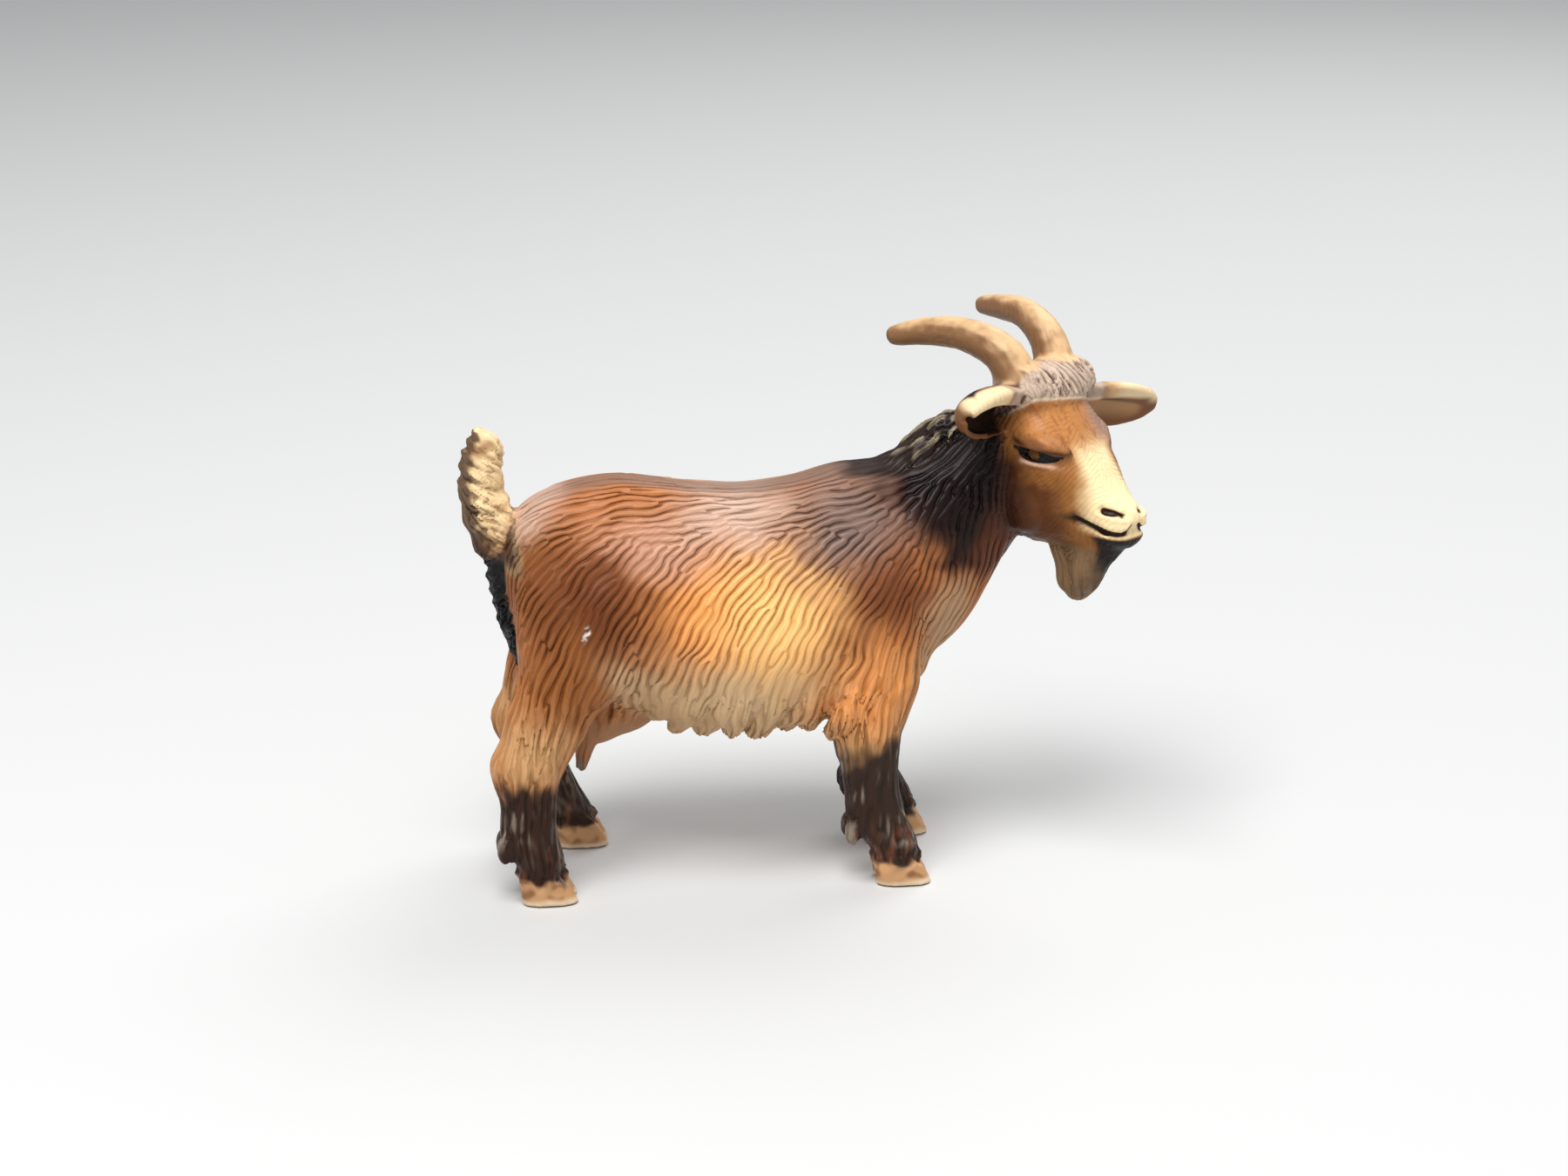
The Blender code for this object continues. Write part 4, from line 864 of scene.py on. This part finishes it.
def head_paint(points, normals, proud, colour):
    """Airbrushed colours of the head over those of the body, with painted shade on the lower cheeks, the jaw,
    round the eyes, in the ears' hollows and on the horns' lower faces.
    """
    forward, left, up = head_places(points)
    head = head_region(points)
    mist = 0.5 * solid_noise(points, 2.4) + 0.35 * solid_noise(points, 0.9)
    face = np.tile(FACE_GOLD, (len(points), 1))
    near = np.abs(left)
    # Painted shade: the lower cheek and the jaw darker
    face = paint(face, CHEEK_BROWN_AND_SHADE, 0.9 * ramp(up + mist, -9.5, -12.0) * ramp(forward + mist, 9.4, 6.0))
    face = paint(face, JAW_SHADE_BROWN, ramp(forward + mist, 5.6, 1.4) * ramp(up, -7.0, -10.0))
    face = paint(face, BROW_CHESTNUT, ramp(up + 0.5 * forward + mist, -6.5, -3.0))
    ridge = ramp(near, 3.6, 1.8)
    face = paint(face, FACE_CREAM, ridge * ramp(forward + mist, 6.2, 9.0) * ramp(up, -5.0, -8.0)
                 * ramp(up, -16.2, -15.2))
    face = paint(face, FACE_CREAM, 0.85 * ramp(forward + mist, 8.7, 11.6) * ramp(up, -16.5, -14.5))
    face = paint(face, FACE_CREAM, ramp(forward + mist, 11.0, 12.6) * ramp(up, -16.3, -16.0))
    face = paint(face, CHEEK_BROWN_AND_SHADE, 0.35 * ramp(solid_noise(points, 0.8), 0.1, 0.7) * ramp(forward, 10.0, 7.0)
                 * ramp(up, -8.5, -10.0))
    streaks = ramp(solid_noise(points @ STREAK, 0.5), 0.15, 0.55)
    face = paint(face, BROW_SHADE, 0.5 * streaks * ramp(up, -8.0, -6.0))
    temple = np.exp(-(((left - 3.9) / 2.3) ** 2 + ((up + 5.2) / 2.6) ** 2) ** 1.5)
    face = paint(face, TEMPLE_GREY, 0.9 * temple)
    over = over_parting(points)
    fringe = ramp(over, -0.1, 0.15)
    face = paint(face, FRINGE_GREY, fringe)
    face = paint(face, FRINGE_SHADE, fringe * ramp(proud, -0.01, -0.06))
    face = paint(face, LINE_CREAM, 0.85 * band(over, 0.0, 0.17) * ramp(forward, 0.0, 1.0))
    beard = ramp(up, -17.4, -18.6)
    face = paint(face, BEARD_TAUPE, beard * ramp(forward, 1.6, 3.0))
    face = paint(face, CHIN_BLACK, 0.9 * beard * ramp(forward - 0.4 * (up + 19.5) + 1.5 * mist, 9.2, 12.4))
    face = paint(face, CHIN_BLACK, ramp(up, -16.15, -16.45) * ramp(forward, 10.2, 11.4))
    corner = band(up + mist, -14.5, 0.7) * band(forward, 8.9, 1.2)
    face = paint(face, CHIN_BLACK, 0.85 * corner * (near > 1.5))
    lid = ramp(forward, 2.4, 3.2) * ramp(forward, 7.6, 6.6) * band(up + 0.04 * (forward - 5.0), -8.8, 0.26)
    face = paint(face, LID_PINK, lid * (near > 3))
    brow = ramp(forward, 1.2, 2.4) * ramp(forward, 9.4, 7.6) * band(up + 0.16 * (forward - 5.0), -6.95, 0.34)
    face = paint(face, LIP_DARK, brow * (near > 3))
    # Painted shade round the eye, under the brow
    socket_shade = band(forward, 5.5, 3.4) * band(up, -7.9, 1.9)
    face = paint(face, CHEEK_BROWN_AND_SHADE, 0.6 * socket_shade * (1 - lid) * (near > 3))
    colour = paint(colour, face, head)
    horn = horn_region(points) * ramp(up, -1.6, 0.2)
    mottle = ramp(solid_noise(points, 1.8) + 0.6 * solid_noise(points, 0.7), -0.3, 0.9)
    horns = paint(np.tile(HORN_TAN, (len(points), 1)), HORN_DARK_AND_SHADE, 0.3 * mottle)
    # Painted shade: horns lighter on faces turned up and forward, darker on those turned down and back
    light_facing = 0.8 * normals[:, 2] + 0.7 * normals[:, 0] + 0.4 * mist
    horns = paint(horns, HORN_DARK_AND_SHADE, 0.9 * ramp(light_facing, 0.68, -0.38))
    for side in (RIGHT, LEFT):
        away, share = distance_to_path(points, horn_path(side))
        beside = ramp(away, 4.5, 3.5)
        horns = paint(horns, HORN_DARK_AND_SHADE, beside * 0.85 * ramp(share, 0.84, 0.98))
    colour = paint(colour, horns, horn)
    for side in (RIGHT, LEFT):
        root, outward, mouth, upward = ear_axes(side)
        away = points - root
        along, open_side, across = away @ outward, away @ mouth, away @ upward
        beside = round_ear(away, outward, 2.0 * ramp(across, -0.8, 0.8)) * side * np.sign(left)
        rolled = ramp(across + 0.05 * (along - 6.0), 0.9, 1.7) * ramp(open_side, -2.2, -1.4)
        rolled = rolled * ramp(along, 3.2, 5.2)
        tip = ramp(along, 9.2, 10.4) * ramp(across, 0.0, 1.4)
        ear = paint(np.tile(EAR_BROWN, (len(points), 1)), EAR_CREAM, np.maximum(rolled, tip))
        # Black deep in each ear's hollow: dark paint and painted shade
        hollow = ramp(along, 10.2, 9.2) * ramp(np.abs(across + 0.4), 2.6, 2.2)
        if side == RIGHT:
            ear = paint(ear, EAR_BLACK_AND_SHADE, hollow * ramp(open_side, -3.5, -3.1) * ramp(open_side, 0.0, -0.3))
        else:
            inside = hollow * ramp(open_side, -1.4, -1.1) * ramp(open_side, 0.0, -0.2)
            ear = paint(ear, EAR_GOLD, inside * ramp(across, -2.6, -0.4))
            ear = paint(ear, EAR_BLACK_AND_SHADE, 0.85 * inside * ramp(across + 0.12 * along, 0.9, 1.7))
            ear = paint(ear, BROW_CHESTNUT, rolled * ramp(along, 7.0, 3.0))
        colour = paint(colour, ear, beside)
    return colour


# Face lines

def face_lines():
    """Nostrils, mouth and the folds over the eyes: path as forward, left and up, then width and depth."""
    made = []
    for side in (RIGHT, LEFT):
        made.append(([(12.2, side * 2.6, -13.1), (13.2, side * 2.5, -13.0), (14.2, side * 2.1, -13.0),
                      (15.0, side * 1.6, -13.1)], 0.48, 0.7))
        made.append(([(9.2, side * 3.4, -14.3), (11.2, side * 2.9, -15.2), (13.2, side * 2.0, -15.6),
                      (15.0, side * 0.6, -15.2)], 0.36, 0.55))
        made.append(([(2.0, side * 5.2, -7.3), (3.6, side * 5.2, -7.0), (5.6, side * 5.0, -7.0),
                      (7.6, side * 4.3, -7.8)], 0.26, 0.25))
    return made


def carve_face(points, skin):
    """Depth of the face's lines, each depth * exp(-(d / width)^2), and how dark they are painted."""
    depth = np.zeros(len(points))
    dark = np.zeros(len(points))
    for path, width, deep in face_lines():
        places, _ = skin.lay([head_point(*place) for place in smooth_path(path, 5)])
        away, _ = distance_to_path(points, list(places))
        depth = np.maximum(depth, deep * np.exp(-(away / width) ** 2))
        dark = np.maximum(dark, 1 - away / (1.5 * width))
    return depth, np.clip(dark, -1, 1)


# Pieces

def store(mesh, name, values):
    """Keeps one number, direction or colour for every vertex in the mesh."""
    if values.ndim == 1:
        layer = mesh.attributes.new(name, "FLOAT", "POINT")
        layer.data.foreach_set("value", values.astype(np.float32))
        return
    layer = mesh.attributes.new(name, "FLOAT_VECTOR", "POINT")
    layer.data.foreach_set("vector", values.astype(np.float32).ravel())


def arrows(turn):
    """Cosine and sine of a wave as flat directions, which stay sharp between the vertices."""
    cosine, sine = turn
    return np.column_stack((cosine, sine, np.zeros(len(cosine))))


def eye_shape(points):
    """1 in the middle of an eye's almond outline, 0 at its edge, less outside; and the same for the iris."""
    forward, left, up = head_places(points)
    t = (forward - 5.0) / 2.5
    middle = -7.85 - 0.12 * t
    half = 0.88 * np.sqrt(np.maximum(1 - t ** 2, 0.0)) * (1 - 0.2 * t) + 1e-3
    inside = 1 - np.abs(up - middle) / half
    beside = (np.abs(left) > 3.0) & (np.abs(left) < 7.0) & (forward < 9.0)
    almond = np.where((np.abs(t) < 1) & beside, np.clip(inside, -1, 1), -1.0)
    iris = 1 - np.hypot((forward - 4.8) / 1.0, (up + 7.75) / 0.6)
    return almond, np.where(beside, np.clip(iris, -1, 1), -1.0)


def even_skin(clay, voxel):
    """The fused forms, made even, before the coat is carved."""
    mesh = fused(clay, voxel)
    points = softened(mesh, read_points(mesh), STEP_PASSES, 0.5)
    passes = int(round(EVENING / voxel ** 2))
    write_points(mesh, softened(mesh, points, passes, smoothing_share(points)[:, None]))
    return mesh


def moulded(name, skin, cuts, material):
    """One closed piece of the skin: cut at its seams, carved with the combed coat and given its paint."""
    mesh = skin.copy()
    mesh.name = name
    for seam, keep in cuts:
        cut_at_seam(mesh, seam, keep)
    points, normals = read_points(mesh), read_normals(mesh)
    proud = np.einsum("ij,ij->i", points - softened(mesh, points, PROUD_PASSES), normals)
    lock = combed(points, normals, *LOCK_WAVE)
    strand = combed(points, normals, *STRAND_WAVE)
    clump = combed(points, normals, *CLUMP_WAVE)
    depth = coat_depth(points)
    fade = 0.15 + 0.85 * ramp(solid_noise(points, 4.0), -0.5, 0.35)
    rise = ((1 + lock[0]) / 2) ** 0.35
    low = ramp(height_share(points), 0.45, 0.15)
    groove = (GROOVE_EVEN + GROOVE_UNEVEN * fade) * (rise - 1)
    lift = depth * (groove + CLUMP_SWELL * (1 + low) * clump[0])
    line, dark = carve_face(points, Surface(skin))
    eye, iris = eye_shape(points)
    lift = lift + CORONET_SWELL * coronet(points) - line - seam_tuck(points, cuts)
    write_points(mesh, points + normals * lift[:, None])
    store(mesh, "lock", arrows(lock))
    store(mesh, "strand", arrows(strand))
    store(mesh, "hair", depth)
    store(mesh, "fade", fade)
    store(mesh, "coat", head_paint(points, normals, proud, body_paint(points, normals, proud)))
    store(mesh, "eye", eye)
    store(mesh, "iris", iris)
    store(mesh, "line", dark)
    mesh.polygons.foreach_set("use_smooth", np.ones(len(mesh.polygons), dtype=bool))
    mesh.materials.clear()
    mesh.materials.append(material)
    piece = bpy.data.objects.new(name, mesh)
    bpy.context.scene.collection.objects.link(piece)
    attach(piece, "root")
    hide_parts("goat")
    print(name, len(mesh.polygons), "faces")
    return piece


# Materials

def node(tree, kind, **inputs):
    """Adds one shader node; keywords set its properties or, by name, its sockets."""
    made = tree.nodes.new(kind)
    for key, value in inputs.items():
        if hasattr(made, key):
            setattr(made, key, value)
        else:
            made.inputs[key.replace("_", " ")].default_value = value
    return made


def attribute(tree, name, output="Fac"):
    """Output of one of the skin's own attributes."""
    return node(tree, "ShaderNodeAttribute", attribute_name=name).outputs[output]


def stretch(tree, value, low, high, to_low=0.0, to_high=1.0):
    """Smooth step of a value, from low to high."""
    made = node(tree, "ShaderNodeMapRange", interpolation_type="SMOOTHSTEP")
    made.inputs["From Min"].default_value = low
    made.inputs["From Max"].default_value = high
    made.inputs["To Min"].default_value = to_low
    made.inputs["To Max"].default_value = to_high
    tree.links.new(value, made.inputs["Value"])
    return made.outputs["Result"]


def times(tree, product, *factors):
    """Product of a value and its factors, each a socket or a plain number."""
    for factor in factors:
        made = node(tree, "ShaderNodeMath", operation="MULTIPLY")
        tree.links.new(product, made.inputs[0])
        if isinstance(factor, float):
            made.inputs[1].default_value = factor
        else:
            tree.links.new(factor, made.inputs[1])
        product = made.outputs[0]
    return product


def coated(tree, base, over, weight):
    """Colour over colour by weight; over is a socket or a plain colour."""
    made = node(tree, "ShaderNodeMix", data_type="RGBA")
    made.clamp_factor = True
    tree.links.new(weight, made.inputs["Factor"])
    tree.links.new(base, made.inputs[6])
    if isinstance(over, tuple):
        made.inputs[7].default_value = (*over, 1)
    else:
        tree.links.new(over, made.inputs[7])
    return made.outputs[2]


def wave(tree, name):
    """Cosine of one of the coat's waves: -1 in the groove and 1 on the ridge."""
    whole = node(tree, "ShaderNodeVectorMath", operation="NORMALIZE")
    tree.links.new(attribute(tree, name, "Vector"), whole.inputs[0])
    split = node(tree, "ShaderNodeSeparateXYZ")
    tree.links.new(whole.outputs["Vector"], split.inputs[0])
    return split.outputs["X"]


def shaded(tree, colour, value, saturation):
    """The same colour made darker or lighter."""
    made = node(tree, "ShaderNodeHueSaturation", Value=value, Saturation=saturation)
    tree.links.new(colour, made.inputs["Color"])
    return made.outputs["Color"]


GRAIN_SCALE = 2600.0
PATCH_SCALE = 420.0
PAINT_ROUGHNESS = 0.42
EYE_ROUGHNESS = 0.12
PAINT_SPECULAR = 0.2
CREASE_DEPTH = 0.16
GRAIN_DEPTH = 0.06


def noise(tree, scale, detail):
    """Noise in the piece's own space."""
    made = node(tree, "ShaderNodeTexNoise", Scale=scale, Detail=detail)
    tree.links.new(node(tree, "ShaderNodeTexCoord").outputs["Object"], made.inputs["Vector"])
    return made.outputs["Fac"]


def relief(tree, height, depth, strength):
    """Bump of that depth in millimetres."""
    made = node(tree, "ShaderNodeBump", Strength=strength, Distance=depth * MM)
    tree.links.new(height, made.inputs["Height"])
    return made


def painted_skin():
    """Satin paint: airbrushed coat colour, dark wash and painted shade in the carved lines, dry brushing and
    painted highlight on the ridges.
    """
    material = bpy.data.materials.new("painted_skin")
    material.use_nodes = True
    tree = material.node_tree
    shader = tree.nodes["Principled BSDF"]
    hair = attribute(tree, "hair")
    fade = attribute(tree, "fade")
    lock = wave(tree, "lock")
    strand = wave(tree, "strand")
    coat = attribute(tree, "coat", "Vector")
    uneven = stretch(tree, noise(tree, PATCH_SCALE, 3.0), 0.35, 0.7, 0.5, 1.0)
    # Lighter on the ridges of the locks: dry brushing and painted highlight
    ridge = times(tree, stretch(tree, lock, -0.2, 0.9), hair)
    colour = coated(tree, coat, shaded(tree, coat, 1.22, 0.95), times(tree, ridge, 0.8))
    # Darker in the grooves of the fine strands: painted shade
    fine = times(tree, stretch(tree, strand, -0.4, -0.95), hair)
    colour = coated(tree, colour, shaded(tree, coat, 0.62, 1.05), times(tree, fine, 0.4))
    # Darker in the grooves of the locks: dark wash and painted shade
    groove = times(tree, stretch(tree, lock, -0.66, -0.96), hair, fade, uneven)
    wash_and_shade = node(tree, "ShaderNodeGamma", Gamma=1.45)
    tree.links.new(coat, wash_and_shade.inputs["Color"])
    colour = coated(tree, colour, shaded(tree, wash_and_shade.outputs["Color"], 0.55, 1.0), times(tree, groove, 0.9))
    colour = coated(tree, colour, LIP_DARK, stretch(tree, attribute(tree, "line"), 0.30, 0.62))
    eye = stretch(tree, attribute(tree, "eye"), 0.03, 0.16)
    colour = coated(tree, colour, EYE_BLACK, eye)
    iris = times(tree, stretch(tree, attribute(tree, "iris"), 0.05, 0.35), eye)
    colour = coated(tree, colour, IRIS_BROWN, iris)
    tree.links.new(colour, shader.inputs["Base Color"])
    gloss = stretch(tree, attribute(tree, "eye"), 0.0, 0.2, PAINT_ROUGHNESS, EYE_ROUGHNESS)
    tree.links.new(gloss, shader.inputs["Roughness"])
    shader.inputs["Specular IOR Level"].default_value = PAINT_SPECULAR
    crease = relief(tree, times(tree, stretch(tree, lock, -1.0, -0.45), hair, fade), CREASE_DEPTH, 0.9)
    grain = relief(tree, noise(tree, GRAIN_SCALE, 2.0), GRAIN_DEPTH, 0.25)
    tree.links.new(crease.outputs["Normal"], grain.inputs["Normal"])
    tree.links.new(grain.outputs["Normal"], shader.inputs["Normal"])
    return material


def pale_floor():
    """Matt pale paper."""
    material = bpy.data.materials.new("pale_floor")
    material.use_nodes = True
    shader = material.node_tree.nodes["Principled BSDF"]
    shader.inputs["Base Color"].default_value = (0.62, 0.62, 0.61, 1)
    shader.inputs["Roughness"].default_value = 0.9
    shader.inputs["Specular IOR Level"].default_value = 0.1
    return material


# Stage, in metres

FLOOR_REACH = 4.0
FLOOR_DROP = 0.0002
LIGHT_TARGET = (0.0, 0.0, 0.03)


def lay_floor():
    """Plain floor under the hooves, far wider than the view."""
    mesh = bpy.data.meshes.new("floor")
    corners = [(x * FLOOR_REACH, y * FLOOR_REACH, 0) for x, y in ((-1, -1), (1, -1), (1, 1), (-1, 1))]
    mesh.from_pydata(corners, [], [(0, 1, 2, 3)])
    mesh.materials.append(pale_floor())
    floor = bpy.data.objects.new("floor", mesh)
    floor.location.z = -FLOOR_DROP
    bpy.context.scene.collection.objects.link(floor)


def aim(holder, target, azimuth, elevation, distance):
    """Puts a lamp or the camera at these angles and this distance from its target, facing it."""
    a, e = math.radians(azimuth), math.radians(elevation)
    back = Vector((math.sin(a) * math.cos(e), -math.cos(a) * math.cos(e), math.sin(e)))
    holder.location = Vector(target) + back * distance
    holder.rotation_euler = (-back).to_track_quat("-Z", "Y").to_euler()
    bpy.context.scene.collection.objects.link(holder)


def area_light(name, azimuth, elevation, distance, size, power):
    """Soft square lamp that faces the figurine."""
    lamp = bpy.data.lights.new(name, "AREA")
    lamp.shape = "SQUARE"
    lamp.size = size
    lamp.energy = power
    aim(bpy.data.objects.new(name, lamp), LIGHT_TARGET, azimuth, elevation, distance)


def light_studio():
    """Even pale surroundings, a large soft lamp high on the left and a weaker one behind."""
    world = bpy.data.worlds.new("studio")
    world.use_nodes = True
    world.node_tree.nodes["Background"].inputs["Color"].default_value = (0.93, 0.96, 1.0, 1)
    world.node_tree.nodes["Background"].inputs["Strength"].default_value = 0.42
    bpy.context.scene.world = world
    area_light("key", -24, 62, 0.75, 0.4, 6.6)
    area_light("rim", 140, 48, 0.8, 0.5, 2.6)


# Camera, in millimetres: the distance is assumed, and the lens in photo pixels follows from it
CAMERA_AZIMUTH = -7.0
CAMERA_ELEVATION = 18.0
CAMERA_DISTANCE = 330.0
CAMERA_TARGET = np.array((0.0, 0.0, 33.0))
PHOTO_WIDTH = 1800
FOCAL_PIXELS = 3402.0
SENSOR_WIDTH = 36.0


def place_camera():
    """Camera at the photograph's angle, with a lens that shows the figurine as large as there."""
    data = bpy.data.cameras.new("photo_camera")
    data.sensor_width = SENSOR_WIDTH
    data.lens = SENSOR_WIDTH * FOCAL_PIXELS / PHOTO_WIDTH
    data.clip_start = 0.01
    data.clip_end = 20.0
    camera = bpy.data.objects.new("photo_camera", data)
    target = (CAMERA_TARGET - FRAME_SHIFT) * MM
    aim(camera, target, CAMERA_AZIMUTH, CAMERA_ELEVATION, CAMERA_DISTANCE * MM)
    bpy.context.scene.camera = camera


bpy.context.scene.view_settings.view_transform = "Standard"
PAINTED_SKIN = painted_skin()
CLAY = shaped_clay()
BODY_SKIN = even_skin(CLAY, BODY_VOXEL)
moulded("goat_rear", BODY_SKIN, [(REAR_SEAM, -1)], PAINTED_SKIN)
moulded("goat_barrel", BODY_SKIN, [(REAR_SEAM, 1), (FRONT_SEAM, -1)], PAINTED_SKIN)
moulded("goat_front", BODY_SKIN, [(FRONT_SEAM, 1), (NECK_SEAM, -1)], PAINTED_SKIN)
moulded("goat_head", even_skin(CLAY, HEAD_VOXEL), [(NECK_SEAM, 1)], PAINTED_SKIN)
lay_floor()
light_studio()
place_camera()
